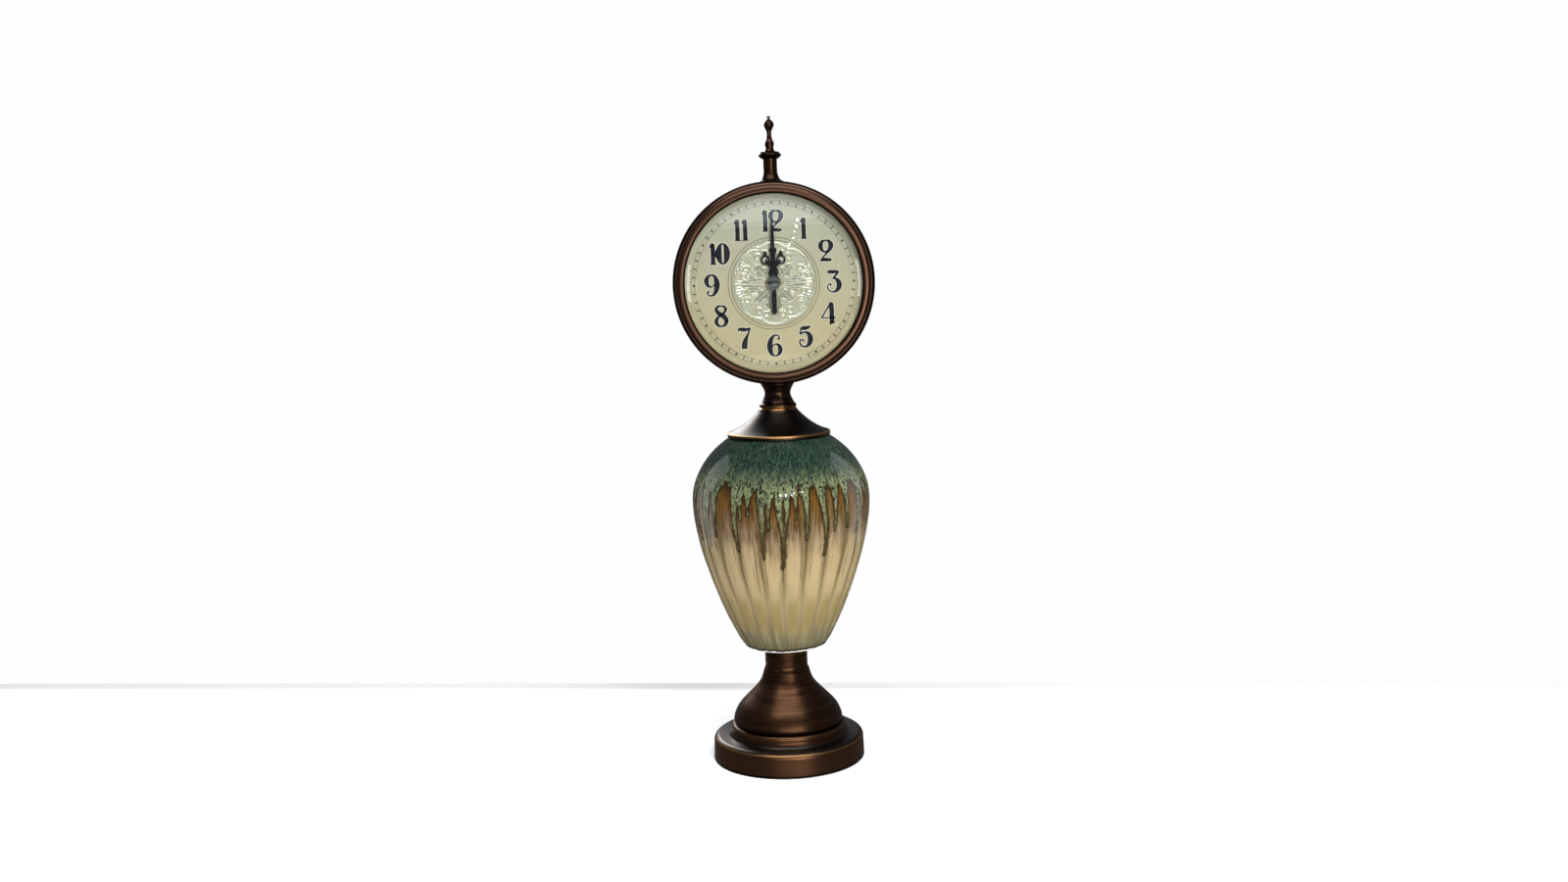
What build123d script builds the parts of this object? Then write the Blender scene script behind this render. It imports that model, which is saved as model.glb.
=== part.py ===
from build123d import *

import os
from math import atan2, cos, degrees, pi, radians, sin

# Table clock on a glazed ceramic urn.
# A bronzed base, a ceramic urn and a round clock head are clamped on one threaded
# tube, and a turned finial stands on the head. Millimetres, +Z up, the dial faces -Y.
# The origin is the centre of the underside.

# ---- driving dimensions -------------------------------------------------------

# base
PAD_THICK = 1.2
PLATE_THICK = 0.8
PLINTH_R = 57.0
PLINTH_TOP = 18.5
BASE_WALL = 1.5
BELL_TOP = 71.0
BELL_NECK_R = 15.9
WEIGHT_R = 49.0
WEIGHT_THICK = 10.0

# clamping tube and its nuts
TUBE_R = 5.0
TUBE_BORE_R = 3.6
TUBE_HOLE_R = 5.2
NUT_FLATS = 14.0
NUT_THICK = 3.4
FOOT_WASHER_R = 11.0
WASHER_THICK = 1.0
THREAD_SHOWN = 8.0

# urn
URN_BOTTOM = 86.5
URN_FOOT_R = 28.5
URN_R = 66.0
URN_TOP = 247.5
URN_MOUTH_R = 16.0
URN_WALL = 5.0
GASKET_THICK = 1.5

# cap and neck
CAP_R = 38.1
CAP_RIM_LOW = 244.5
CAP_RIM_HIGH = 247.6
CAP_TOP = 263.9
CAP_TOP_R = 14.3

# head
HEAD_Z = 356.6
HEAD_R = 73.0
DRUM_R = 71.8
DRUM_WALL = 1.2
DRUM_FRONT = -18.5
DRUM_BACK = 15.0
LIP_R = 62.0
FRONT_LIP = -14.0
REAR_LIP = 12.0
OPENING_R = 64.0
LENS_R = 66.8
LENS_SEAT = -19.0
LENS_EDGE = -21.1
LENS_NOSE = -27.0
LENS_GLASS = 2.0
DIAL_R = 66.0
DIAL_THICK = 1.0
COVER_R = 70.2
COVER_THICK = 1.5
WINDOW = 62.0
SCREW_CIRCLE_R = 66.3
SCREW_R = 1.5

# finial
STEM_TOP = 446.2
FINIAL_TOP = 476.6
STEM_R = 5.1
STUD_R = 2.0
BEAD_COUNT = 16
BEAD_R = 0.85

# hands
HOUR_HAND_Y = -16.9
MINUTE_HAND_Y = -18.1
SECOND_HAND_Y = -19.3
HAND_THICK = 0.5
MINUTE_REACH = 53.5
SECOND_REACH = 48.0
TAIL_REACH = 22.0
TAIL_WIDTH = 3.2
HUB_R = 5.0
HUB_NOSE = -22.4

# movement case and its shafts
MOVE_SIZE = 56.0
MOVE_FRONT = -13.4
MOVE_JOIN = -1.0
MOVE_BACK = 2.6
MOVE_WALL = 1.2
BAY_TOP = -10.7
BUSH_R = 4.0
HOUR_TUBE_R = 2.5
MINUTE_TUBE_R = 1.5
ARBOR_R = 0.5
RUN_GAP = 0.06
KNOB_SHAFT_R = 1.2
KNOB_SHAFT_END = 8.0
KNOB_END = 9.0
KNOB_R = 5.0
KNOB_THICK = 5.8
KNOB_RIBS = 18
ROTOR_R = 3.0
BATTERY_R = 7.1
BATTERY_LENGTH = 49.2
BATTERY_Y = -5.0
BATTERY_Z = -19.35

# gear train: modules and tooth counts
MOTION_MODULE = 0.5
HOUR_MODULE = 0.48
CENTRE_MODULE = 0.32
STEP_MODULE = 0.3
CANNON_TEETH = 12
MOTION_TEETH = 36
MOTION_PINION_TEETH = 10
HOUR_TEETH = 40
PINION_TEETH = 8
THIRD_TEETH = 60
CENTRE_TEETH = 64
SECOND_TEETH = 48
FIFTH_TEETH = 40

THIRD_DISTANCE = CENTRE_MODULE * (CENTRE_TEETH + PINION_TEETH) / 2
THIRD_MODULE = 2 * THIRD_DISTANCE / (THIRD_TEETH + PINION_TEETH)
MOTION_DISTANCE = MOTION_MODULE * (CANNON_TEETH + MOTION_TEETH) / 2
FIFTH_DISTANCE = STEP_MODULE * (SECOND_TEETH + PINION_TEETH) / 2
ROTOR_DISTANCE = STEP_MODULE * (FIFTH_TEETH + PINION_TEETH) / 2

# directions of the arbors about the clock's centre, in degrees seen from the front
MOTION_ANGLE = 0.0
THIRD_ANGLE = 150.0
FIFTH_ANGLE = 60.0

# gear layers: the front face of each wheel and its thickness
HOUR_LAYER = -11.6
MOTION_LAYER = -10.3
CENTRE_LAYER = -8.5
THIRD_LAYER = -7.2
SECOND_LAYER = -5.8
FIFTH_LAYER = -4.6
THIN = 0.7
THICK = 1.0
REAR_PIVOT = 1.0

HEAD_AXIS = Axis((0, 0, HEAD_Z), (0, 1, 0))


# ---- helpers ------------------------------------------------------------------


def save(piece, name):
    """Labels a finished piece and writes it to parts/."""
    piece.part.label = name
    export_step(piece.part, f"parts/{name}.step")


def facing(y, x=0.0, up=0.0):
    """A plane that faces the viewer at depth y, centred x and up from the dial's centre."""
    return Plane(origin=(x, y, HEAD_Z + up), x_dir=(1, 0, 0), z_dir=(0, -1, 0))


def polar(distance, angle, start=(0.0, 0.0)):
    """A point on the dial plane, at a distance and angle from another."""
    turn = radians(angle)
    return start[0] + distance * cos(turn), start[1] + distance * sin(turn)


def turned_upright(points):
    """Closes a profile of (radius, height) points and turns it about the vertical axis."""
    with BuildPart() as piece:
        with BuildSketch(Plane.XZ):
            with BuildLine():
                Polyline(*points, close=True)
            make_face()
        revolve(axis=Axis.Z)
    return piece


def turned_head(points):
    """Closes a profile of (radius, depth) points and turns it about the head's axis."""
    with BuildPart() as piece:
        with BuildSketch(Plane.XY.offset(HEAD_Z)):
            with BuildLine():
                Polyline(*points, close=True)
            make_face()
        revolve(axis=HEAD_AXIS)
    return piece


def ring_upright(inner, outer, low, high):
    """A plain ring about the vertical axis."""
    return turned_upright([(inner, low), (outer, low), (outer, high), (inner, high)])


def ring_head(inner, outer, front, back):
    """A plain ring about the head's axis."""
    return turned_head([(inner, front), (outer, front), (outer, back), (inner, back)])


def hex_nut(plane, flats, bore, thick):
    """A plain hexagonal nut, flats millimetres across."""
    with BuildPart() as piece:
        with BuildSketch(plane):
            RegularPolygon(flats / 2, 6, major_radius=False)
            Circle(bore, mode=Mode.SUBTRACT)
        extrude(amount=thick)
    return piece


# ---- base ---------------------------------------------------------------------


def base_pad():
    piece = turned_upright([(0, 0), (53.5, 0), (54, 0.4), (54, PAD_THICK), (0, PAD_THICK)])
    save(piece, "base_pad")


def base_plate():
    top = PAD_THICK + PLATE_THICK
    inner_r = PLINTH_R - BASE_WALL - 0.3
    save(turned_upright([(0, PAD_THICK), (inner_r, PAD_THICK), (inner_r, top), (0, top)]), "base_plate")


def base_outline(wall):
    """The spun shell's silhouette, moved in by the wall's thickness."""
    side = PLINTH_R - wall
    flat = PLINTH_TOP - wall
    foot = (side, PAD_THICK - 0.4)
    shoulder = (side - 0.4, flat - 4)
    ledge = (side - 4.2, flat)
    cove = (45.2 - wall, flat)
    step = (43.2 - wall, 24.4 - wall)
    groove = (40.4 - wall, 27.0 - wall)
    bell = [
        (41.0 - wall, 29.4 - wall),
        (40.2 - wall, 33.6 - wall),
        (37.2 - wall, 39.6 - wall),
        (31.2 - wall, 46.2 - wall),
        (23.6 - wall, 54.0 - wall),
        (18.6 - wall, 61.7 - wall),
        (16.5 - wall, 68.4 - wall),
        (BELL_NECK_R - wall, BELL_TOP - wall),
    ]
    Line(foot, shoulder)
    RadiusArc(shoulder, ledge, -4.1)
    Line(ledge, cove)
    RadiusArc(cove, step, 7)
    RadiusArc(step, groove, -2.6)
    Line(groove, bell[0])
    Spline(*bell, tangents=[(0.1, 1), (-0.05, 1)])
    Line(bell[-1], (0, BELL_TOP - wall))
    Line((0, BELL_TOP - wall), (0, foot[1]))
    Line((0, foot[1]), foot)


def base_shell():
    with BuildPart() as piece:
        with BuildSketch(Plane.XZ):
            with BuildLine():
                base_outline(0)
            make_face()
        revolve(axis=Axis.Z)
        with BuildSketch(Plane.XZ):
            with BuildLine():
                base_outline(BASE_WALL)
            make_face()
        revolve(axis=Axis.Z, mode=Mode.SUBTRACT)
        Cylinder(TUBE_HOLE_R, 4 * BELL_TOP, mode=Mode.SUBTRACT)
    save(piece, "base_shell")


def base_weight():
    high = PLINTH_TOP - BASE_WALL - 0.1
    low = high - WEIGHT_THICK
    rim = WEIGHT_R + 1
    points = [(TUBE_HOLE_R, low), (WEIGHT_R, low), (rim, low + 1), (rim, high), (TUBE_HOLE_R, high)]
    save(turned_upright(points), "base_weight")
    save(ring_upright(TUBE_HOLE_R, FOOT_WASHER_R, low - WASHER_THICK, low), "foot_washer")
    nut = hex_nut(Plane.XY.offset(low - WASHER_THICK - NUT_THICK), NUT_FLATS, TUBE_R, NUT_THICK)
    save(nut, "foot_nut")


def base_collar():
    """The turned collar between the bell and the urn, with two grooves."""
    high = URN_BOTTOM - 1.0
    groove = 0.5
    grooves = [73.0, 77.0]
    with BuildPart() as piece:
        with BuildSketch(Plane.XZ):
            with Locations((0, BELL_TOP)):
                Rectangle(BELL_NECK_R, high - BELL_TOP, align=(Align.MIN, Align.MIN))
            with Locations(*[(BELL_NECK_R + 0.1, z) for z in grooves]):
                Circle(groove, mode=Mode.SUBTRACT)
        revolve(axis=Axis.Z)
        Cylinder(TUBE_HOLE_R, 4 * high, mode=Mode.SUBTRACT)
        chamfer(piece.edges().filter_by(GeomType.CIRCLE).sort_by(Axis.Z)[-1], 0.5)
    save(piece, "base_collar")
    save(ring_upright(TUBE_HOLE_R + 3, BELL_NECK_R - 0.6, high, URN_BOTTOM), "foot_gasket")


# ---- urn ----------------------------------------------------------------------


def urn_side(wall):
    """The urn's side, moved in by the wall's thickness: from foot to mouth. Returns both ends."""
    foot = (URN_FOOT_R - wall, URN_BOTTOM + wall)
    foot_edge = (30.6 - wall, 87.6 + 0.9 * wall)
    side = [
        (34.4 - wall, 93.2 + 0.3 * wall),
        (43.2 - wall, 111.1),
        (51.9 - wall, 133.5),
        (59.4 - wall, 155.7),
        (64.3 - wall, 177.7),
        (URN_R - wall, 195.2),
        (64.6 - wall, 208.1),
        (59.4 - 0.9 * wall, 221.0 - 0.4 * wall),
        (49.6 - 0.7 * wall, 234.1 - 0.7 * wall),
        (38.4, 243.2 - wall),
        (27.0, URN_TOP - wall),
    ]
    RadiusArc(foot, foot_edge, -2.4)
    Line(foot_edge, side[0])
    Spline(*side, tangents=[(0.5, 1), (-1, 0.05)])
    return foot, side[-1]


def ceramic_body():
    """The hollow urn, open at its mouth and pierced through its foot."""
    with BuildPart() as piece:
        with BuildSketch(Plane.XZ):
            with BuildLine():
                outer_foot, outer_mouth = urn_side(0)
                inner_foot, inner_mouth = urn_side(URN_WALL)
                foot_hole = TUBE_HOLE_R + 3
                mouth_low = (URN_MOUTH_R, URN_TOP - URN_WALL)
                Polyline(outer_mouth, (URN_MOUTH_R, URN_TOP), mouth_low, inner_mouth)
                Polyline(outer_foot, (foot_hole, outer_foot[1]), (foot_hole, inner_foot[1]), inner_foot)
            make_face()
        revolve(axis=Axis.Z)
    save(piece, "ceramic_body")
    save(ring_upright(URN_MOUTH_R + 0.5, 25.5, URN_TOP, URN_TOP + GASKET_THICK), "cap_gasket")


# ---- cap, neck and clamping tube ----------------------------------------------


def vase_cap():
    seat = URN_TOP + GASKET_THICK
    rim_top = (CAP_R - 0.5, CAP_RIM_HIGH)
    slope = [rim_top, (35.3, 248.3), (27.4, 252.2), (20.6, 257.3), (16.2, 261.5), (CAP_TOP_R, CAP_TOP)]
    rim_inner = 36.4
    rim_foot = (CAP_R - 0.3, CAP_RIM_LOW)
    with BuildPart() as piece:
        with BuildSketch(Plane.XZ):
            with BuildLine():
                Polyline((TUBE_HOLE_R, seat), (29, seat), (rim_inner, 246.4), (rim_inner, CAP_RIM_LOW))
                Polyline((rim_inner, CAP_RIM_LOW), rim_foot, (CAP_R, 245.0), (CAP_R, 247.0), rim_top)
                Spline(*slope, tangents=[(-1, 0.2), (-0.55, 1)])
                Polyline(slope[-1], (TUBE_HOLE_R, CAP_TOP), (TUBE_HOLE_R, seat))
            make_face()
        revolve(axis=Axis.Z)
    save(piece, "vase_cap")


def neck_collar():
    """A waisted collar with a bead, hollowed on top to sit on the drum."""
    low = CAP_TOP
    bead_low = (13.0, 265.4)
    bead_high = (12.8, 268.4)
    waist = [bead_high, (10.9, 271.5), (9.5, 276.0), (10.8, 280.2), (12.3, 282.9)]
    crown = HEAD_Z - DRUM_R + 1.5
    with BuildPart() as piece:
        with BuildSketch(Plane.XZ):
            with BuildLine():
                Polyline((TUBE_HOLE_R, low), (14.2, low), (13.4, 265.0), bead_low)
                RadiusArc(bead_low, bead_high, -1.8)
                Spline(*waist, tangents=[(-1, 1), (0.5, 1)])
                Polyline(waist[-1], (12.6, crown), (TUBE_HOLE_R, crown), (TUBE_HOLE_R, low))
            make_face()
        revolve(axis=Axis.Z)
        with Locations(facing(0).location):
            Cylinder(DRUM_R + 0.03, 4 * HEAD_R, mode=Mode.SUBTRACT)
    save(piece, "neck_collar")


def tie_tube():
    low = PAD_THICK + PLATE_THICK + 0.4
    high = HEAD_Z - DRUM_R + DRUM_WALL + THREAD_SHOWN
    lead = 0.6
    outside = [(TUBE_R, low), (TUBE_R, high - lead), (TUBE_R - lead, high)]
    save(turned_upright([(TUBE_BORE_R, low), *outside, (TUBE_BORE_R, high)]), "tie_tube")


def saddle_washer(name, hole, size, low, top_side):
    """A washer curved outside to the drum and flat inside for its nut. Returns how far out its flat is."""
    inside = DRUM_R - DRUM_WALL - 0.03
    blank = 12
    flat = inside - 1.8
    middle = HEAD_Z + (flat - HEAD_R if top_side else HEAD_R - flat)
    with BuildPart() as piece:
        with Locations((0, 0, low)):
            Cylinder(size, blank)
            Cylinder(hole, blank, mode=Mode.SUBTRACT)
        with Locations(facing(0).location):
            Cylinder(inside, 4 * HEAD_R, mode=Mode.INTERSECT)
        with Locations((0, 0, middle)):
            Box(4 * size, 4 * size, 2 * HEAD_R, mode=Mode.SUBTRACT)
    save(piece, name)
    return flat


def neck_fixing():
    flat = saddle_washer("neck_washer", TUBE_HOLE_R, 10, HEAD_Z - DRUM_R, False)
    nut = hex_nut(Plane.XY.offset(HEAD_Z - flat), NUT_FLATS, TUBE_R, NUT_THICK)
    save(nut, "neck_nut")


# ---- clock case ---------------------------------------------------------------


def case_drum():
    inner = DRUM_R - DRUM_WALL
    holes = 4
    with BuildPart() as piece:
        with BuildSketch(Plane.XY.offset(HEAD_Z)):
            with BuildLine():
                Polyline(
                    (DRUM_R, DRUM_FRONT),
                    (DRUM_R, DRUM_BACK),
                    (inner, DRUM_BACK),
                    (inner, REAR_LIP + DRUM_WALL),
                    (LIP_R, REAR_LIP + DRUM_WALL),
                    (LIP_R, REAR_LIP),
                    (inner, REAR_LIP),
                    (inner, FRONT_LIP + DRUM_WALL),
                    (LIP_R, FRONT_LIP + DRUM_WALL),
                    (LIP_R, FRONT_LIP),
                    (inner, FRONT_LIP),
                    (inner, DRUM_FRONT),
                    close=True,
                )
            make_face()
        revolve(axis=HEAD_AXIS)
        with Locations((0, 0, HEAD_Z - HEAD_R)):
            Cylinder(TUBE_HOLE_R, 12, mode=Mode.SUBTRACT)
        with Locations((0, 0, HEAD_Z + HEAD_R)):
            Cylinder(STUD_R + 0.2, 12, mode=Mode.SUBTRACT)
        with BuildSketch(facing(REAR_LIP + DRUM_WALL)):
            with PolarLocations(SCREW_CIRCLE_R, holes, start_angle=45):
                Circle(SCREW_R)
        extrude(amount=DRUM_WALL, mode=Mode.SUBTRACT)
    save(piece, "case_drum")


def front_bezel():
    """The moulded ring: a skirt over the drum, a rounded edge, a step and a bead."""
    skirt = DRUM_R + 0.1
    lens_clear = LENS_R + 1.4
    front = LENS_EDGE - 0.1
    seat = LENS_SEAT - 0.1
    with BuildPart() as piece:
        with BuildSketch(Plane.XY.offset(HEAD_Z)):
            with BuildLine():
                Line((HEAD_R, -13.5), (HEAD_R, -17.4))
                RadiusArc((HEAD_R, -17.4), (70.4, -21.2), 4.2)
                Polyline((70.4, -21.2), (69.9, -21.2), (69.9, -21.8))
                RadiusArc((69.9, -21.8), (66.0, -23.2), 4.2)
                RadiusArc((66.0, -23.2), (OPENING_R, -22.2), 2.4)
                Polyline(
                    (OPENING_R, -22.2),
                    (OPENING_R, front),
                    (lens_clear, front),
                    (lens_clear, seat),
                    (skirt, seat),
                    (skirt, -13.5),
                    (HEAD_R, -13.5),
                )
            make_face()
        revolve(axis=HEAD_AXIS)
    save(piece, "front_bezel")


def lens():
    """Domed glass with a bevelled edge."""
    rim = OPENING_R - 0.2
    seat = (rim + 0.6, LENS_SEAT)
    bevel = (rim - 3.3, LENS_EDGE - 1.8)
    nose = (0, LENS_NOSE)
    inner_bevel = (rim - 3.0, LENS_SEAT - 1.5)
    inner_nose = (0, LENS_NOSE + LENS_GLASS)
    front_sag = bevel[1] - LENS_NOSE
    back_sag = inner_bevel[1] - inner_nose[1]
    front_radius = (bevel[0] ** 2 + front_sag**2) / (2 * front_sag)
    back_radius = (inner_bevel[0] ** 2 + back_sag**2) / (2 * back_sag)
    with BuildPart() as piece:
        with BuildSketch(Plane.XY.offset(HEAD_Z)):
            with BuildLine():
                Polyline(seat, (LENS_R, LENS_SEAT), (LENS_R, LENS_EDGE), (rim, LENS_EDGE), bevel)
                RadiusArc(bevel, nose, front_radius)
                Line(nose, inner_nose)
                RadiusArc(inner_nose, inner_bevel, -back_radius)
                Line(inner_bevel, seat)
            make_face()
        revolve(axis=HEAD_AXIS)
    save(piece, "lens")
    save(ring_head(LENS_R + 0.1, LENS_R + 1.3, LENS_EDGE, LENS_SEAT), "lens_gasket")


def dial():
    save(ring_head(BUSH_R + 0.1, DIAL_R, FRONT_LIP - DIAL_THICK, FRONT_LIP), "dial_plate")
    save(ring_head(OPENING_R + 0.2, DIAL_R + 0.4, LENS_SEAT, FRONT_LIP - DIAL_THICK), "dial_spacer")


def rear_cover():
    back = REAR_LIP + DRUM_WALL + COVER_THICK
    holes = 4
    with BuildPart() as piece:
        with BuildSketch(facing(back)):
            Circle(COVER_R)
            RectangleRounded(WINDOW, WINDOW, 5, mode=Mode.SUBTRACT)
            with PolarLocations(SCREW_CIRCLE_R, holes, start_angle=45):
                Circle(SCREW_R + 0.2, mode=Mode.SUBTRACT)
        extrude(amount=COVER_THICK)
    save(piece, "rear_cover")
    with BuildPart() as screws:
        with BuildSketch(facing(back + 1.6)):
            with PolarLocations(SCREW_CIRCLE_R, holes, start_angle=45):
                Circle(2.7)
        extrude(amount=1.6)
        with BuildSketch(facing(back)):
            with PolarLocations(SCREW_CIRCLE_R, holes, start_angle=45):
                Circle(SCREW_R)
        extrude(amount=5)
        with BuildSketch(facing(back + 1.6)):
            with PolarLocations(SCREW_CIRCLE_R, holes, start_angle=45):
                Rectangle(0.7, 3.4)
                Rectangle(3.4, 0.7)
        extrude(amount=0.9, mode=Mode.SUBTRACT)
    save(screws, "rear_screws")


# ---- finial -------------------------------------------------------------------


def finial_stem():
    low = HEAD_Z + DRUM_R - 1.5
    flange = (9.8, 429.8)
    ogee = [(8.6, 430.6), (6.6, 432.3), (5.7, 434.4), (STEM_R, 437.6)]
    with BuildPart() as piece:
        with BuildSketch(Plane.XZ):
            with BuildLine():
                Polyline((STUD_R + 0.1, low), (flange[0], low), flange, ogee[0])
                Spline(*ogee, tangents=[(-1, 0.3), (-0.05, 1)])
                Polyline(ogee[-1], (STEM_R, STEM_TOP), (STUD_R + 0.1, STEM_TOP), (STUD_R + 0.1, low))
            make_face()
        revolve(axis=Axis.Z)
        with Locations(facing(0).location):
            Cylinder(DRUM_R + 0.03, 4 * HEAD_R, mode=Mode.SUBTRACT)
    save(piece, "finial_stem")


def finial_spire():
    """A beaded dish with a double baluster above it."""
    dish_edge = (8.4, 449.0)
    baluster = [
        (3.6, 452.2),
        (2.9, 454.0),
        (3.4, 457.2),
        (2.3, 460.0),
        (1.75, 463.2),
        (2.0, 466.2),
        (3.6, 470.0),
        (2.3, 473.4),
        (1.1, 475.8),
        (0, FINIAL_TOP),
    ]
    blind = 453.0
    with BuildPart() as piece:
        with BuildSketch(Plane.XZ):
            with BuildLine():
                Line((STUD_R, STEM_TOP), (5.4, STEM_TOP))
                RadiusArc((5.4, STEM_TOP), dish_edge, -5)
                Spline(dish_edge, (7.6, 450.0), baluster[0], tangents=[(0, 1), (-0.8, 1)])
                Spline(*baluster, tangents=[(-0.8, 1), (-1, 0)])
                Polyline((0, FINIAL_TOP), (0, blind), (STUD_R, blind), (STUD_R, STEM_TOP))
            make_face()
        revolve(axis=Axis.Z)
        with BuildSketch(Plane.XY.offset(450.3)):
            with PolarLocations(6.1, BEAD_COUNT):
                Circle(BEAD_R)
        extrude(amount=0.9)
    save(piece, "finial_spire")


def finial_fixing():
    flat = saddle_washer("finial_washer", STUD_R + 0.1, 6, HEAD_Z + DRUM_R, True)
    low = HEAD_Z + flat - 5.5
    with BuildPart() as stud:
        with Locations((0, 0, low)):
            Cylinder(STUD_R, 452.5 - low, align=(Align.CENTER, Align.CENTER, Align.MIN))
        chamfer(stud.edges().filter_by(GeomType.CIRCLE), 0.4)
    save(stud, "finial_stud")
    nut = hex_nut(Plane.XY.offset(HEAD_Z + flat - 3.2), 7, STUD_R, 3.2)
    save(nut, "finial_nut")


# ---- hands --------------------------------------------------------------------


def hour_hand():
    """A pierced hand: a waisted body, two side scrolls and a lobe at its tip."""
    scrolls = [(-5.6, 17.0), (5.6, 17.0)]
    thick = HAND_THICK
    with BuildPart() as piece:
        with BuildSketch(facing(HOUR_HAND_Y + thick)):
            Circle(4.2)
            with BuildLine():
                Polyline((0, 2), (-1.6, 2), (-3.8, 8.2), (-1.2, 14.5), (-1.7, 20), (-0.9, 22.5), (0, 31))
                mirror(about=Plane.YZ)
            make_face()
            with Locations((0, 23.6)):
                Circle(2.7)
            with Locations(*scrolls):
                Circle(3.4)
            for side in (-1, 1):
                with BuildLine():
                    Polyline((side * 3.6, 19.2), (side * 5.6, 24.2), (side * 7.6, 19.2), close=True)
                make_face()
                with BuildLine():
                    Polyline((0, 9.5), (side * 5.0, 14.4), (0, 17.5), close=True)
                make_face()
            with Locations(*scrolls):
                Circle(2.2, mode=Mode.SUBTRACT)
            with Locations(*[(x * 0.82, y - 1.2) for x, y in scrolls]):
                Circle(1.05)
            with Locations((0, 11.0)):
                Ellipse(1.0, 1.6, mode=Mode.SUBTRACT)
            with Locations((0, 23.6)):
                Circle(0.75, mode=Mode.SUBTRACT)
            Circle(HOUR_TUBE_R, mode=Mode.SUBTRACT)
        extrude(amount=thick)
    save(piece, "hour_hand")


def minute_hand():
    """A plain lance, widest near its middle."""
    thick = HAND_THICK
    tip = [(-0.4, MINUTE_REACH - 1), (0, MINUTE_REACH)]
    with BuildPart() as piece:
        with BuildSketch(facing(MINUTE_HAND_Y + thick)):
            Circle(3.4)
            with BuildLine():
                Polyline((0, 1), (-1.1, 1), (-1.0, 12), (-1.35, 24), (-1.2, 34), *tip)
                mirror(about=Plane.YZ)
            make_face()
            Circle(MINUTE_TUBE_R, mode=Mode.SUBTRACT)
        extrude(amount=thick)
    save(piece, "minute_hand")


def second_hand():
    """A needle with a round-ended counterweight, and the domed cap over its hub."""
    thick = 0.3
    reach = TAIL_REACH - TAIL_WIDTH / 2
    with BuildPart() as piece:
        with BuildSketch(facing(SECOND_HAND_Y + thick)):
            Circle(2.6)
            with BuildLine():
                Polyline((-0.5, 0), (-0.25, SECOND_REACH), (0.25, SECOND_REACH), (0.5, 0), close=True)
            make_face()
            with Locations((0, -reach / 2)):
                Rectangle(TAIL_WIDTH, reach)
            with Locations((0, -reach)):
                Circle(TAIL_WIDTH / 2)
            Circle(ARBOR_R, mode=Mode.SUBTRACT)
        extrude(amount=thick)
    save(piece, "second_hand")
    low = SECOND_HAND_Y
    socket = (ARBOR_R, low - 0.6)
    edge = (HUB_R, low - 0.5)
    dome = edge[1] - HUB_NOSE
    dome_radius = (HUB_R**2 + dome**2) / (2 * dome)
    with BuildPart() as cap:
        with BuildSketch(Plane.XY.offset(HEAD_Z)):
            with BuildLine():
                Polyline((0, HUB_NOSE), (0, socket[1]), socket, (ARBOR_R, low), (HUB_R, low), edge)
                RadiusArc(edge, (0, HUB_NOSE), dome_radius)
            make_face()
        revolve(axis=HEAD_AXIS)
    save(cap, "hub_cap")


# ---- movement -----------------------------------------------------------------

MOTION_AT = polar(MOTION_DISTANCE, MOTION_ANGLE)
THIRD_AT = polar(THIRD_DISTANCE, THIRD_ANGLE)
FIFTH_AT = polar(FIFTH_DISTANCE, FIFTH_ANGLE)
ROTOR_AT = polar(ROTOR_DISTANCE, FIFTH_ANGLE, FIFTH_AT)
BRIDGE_POST = (21.0, 14.0)


def movement_case():
    """The front shell: a square tray with the battery bay, the bush and the front pivots."""
    depth = MOVE_JOIN - MOVE_FRONT
    inner = MOVE_SIZE - 2 * MOVE_WALL
    half = inner / 2
    with BuildPart() as piece:
        with BuildSketch(facing(MOVE_JOIN)):
            RectangleRounded(MOVE_SIZE, MOVE_SIZE, 3)
        extrude(amount=depth)
        with BuildSketch(facing(MOVE_JOIN)):
            with Locations((0, (BAY_TOP + half) / 2)):
                Rectangle(inner, half - BAY_TOP)
            with Locations((0, (BAY_TOP - MOVE_WALL - half) / 2)):
                Rectangle(inner, half + BAY_TOP - MOVE_WALL)
        extrude(amount=depth - MOVE_WALL, mode=Mode.SUBTRACT)
        with BuildSketch(facing(MOVE_FRONT)):
            Circle(BUSH_R)
        extrude(amount=2.6)
        with BuildSketch(facing(MOVE_FRONT + MOVE_WALL)):
            Circle(HOUR_TUBE_R + RUN_GAP)
        extrude(amount=2.6 + MOVE_WALL, mode=Mode.SUBTRACT)
        with BuildSketch(facing(MOVE_FRONT + MOVE_WALL)):
            with Locations(MOTION_AT, THIRD_AT, ROTOR_AT):
                Circle(ARBOR_R + RUN_GAP)
        extrude(amount=0.9, mode=Mode.SUBTRACT)
    save(piece, "movement_case")


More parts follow.
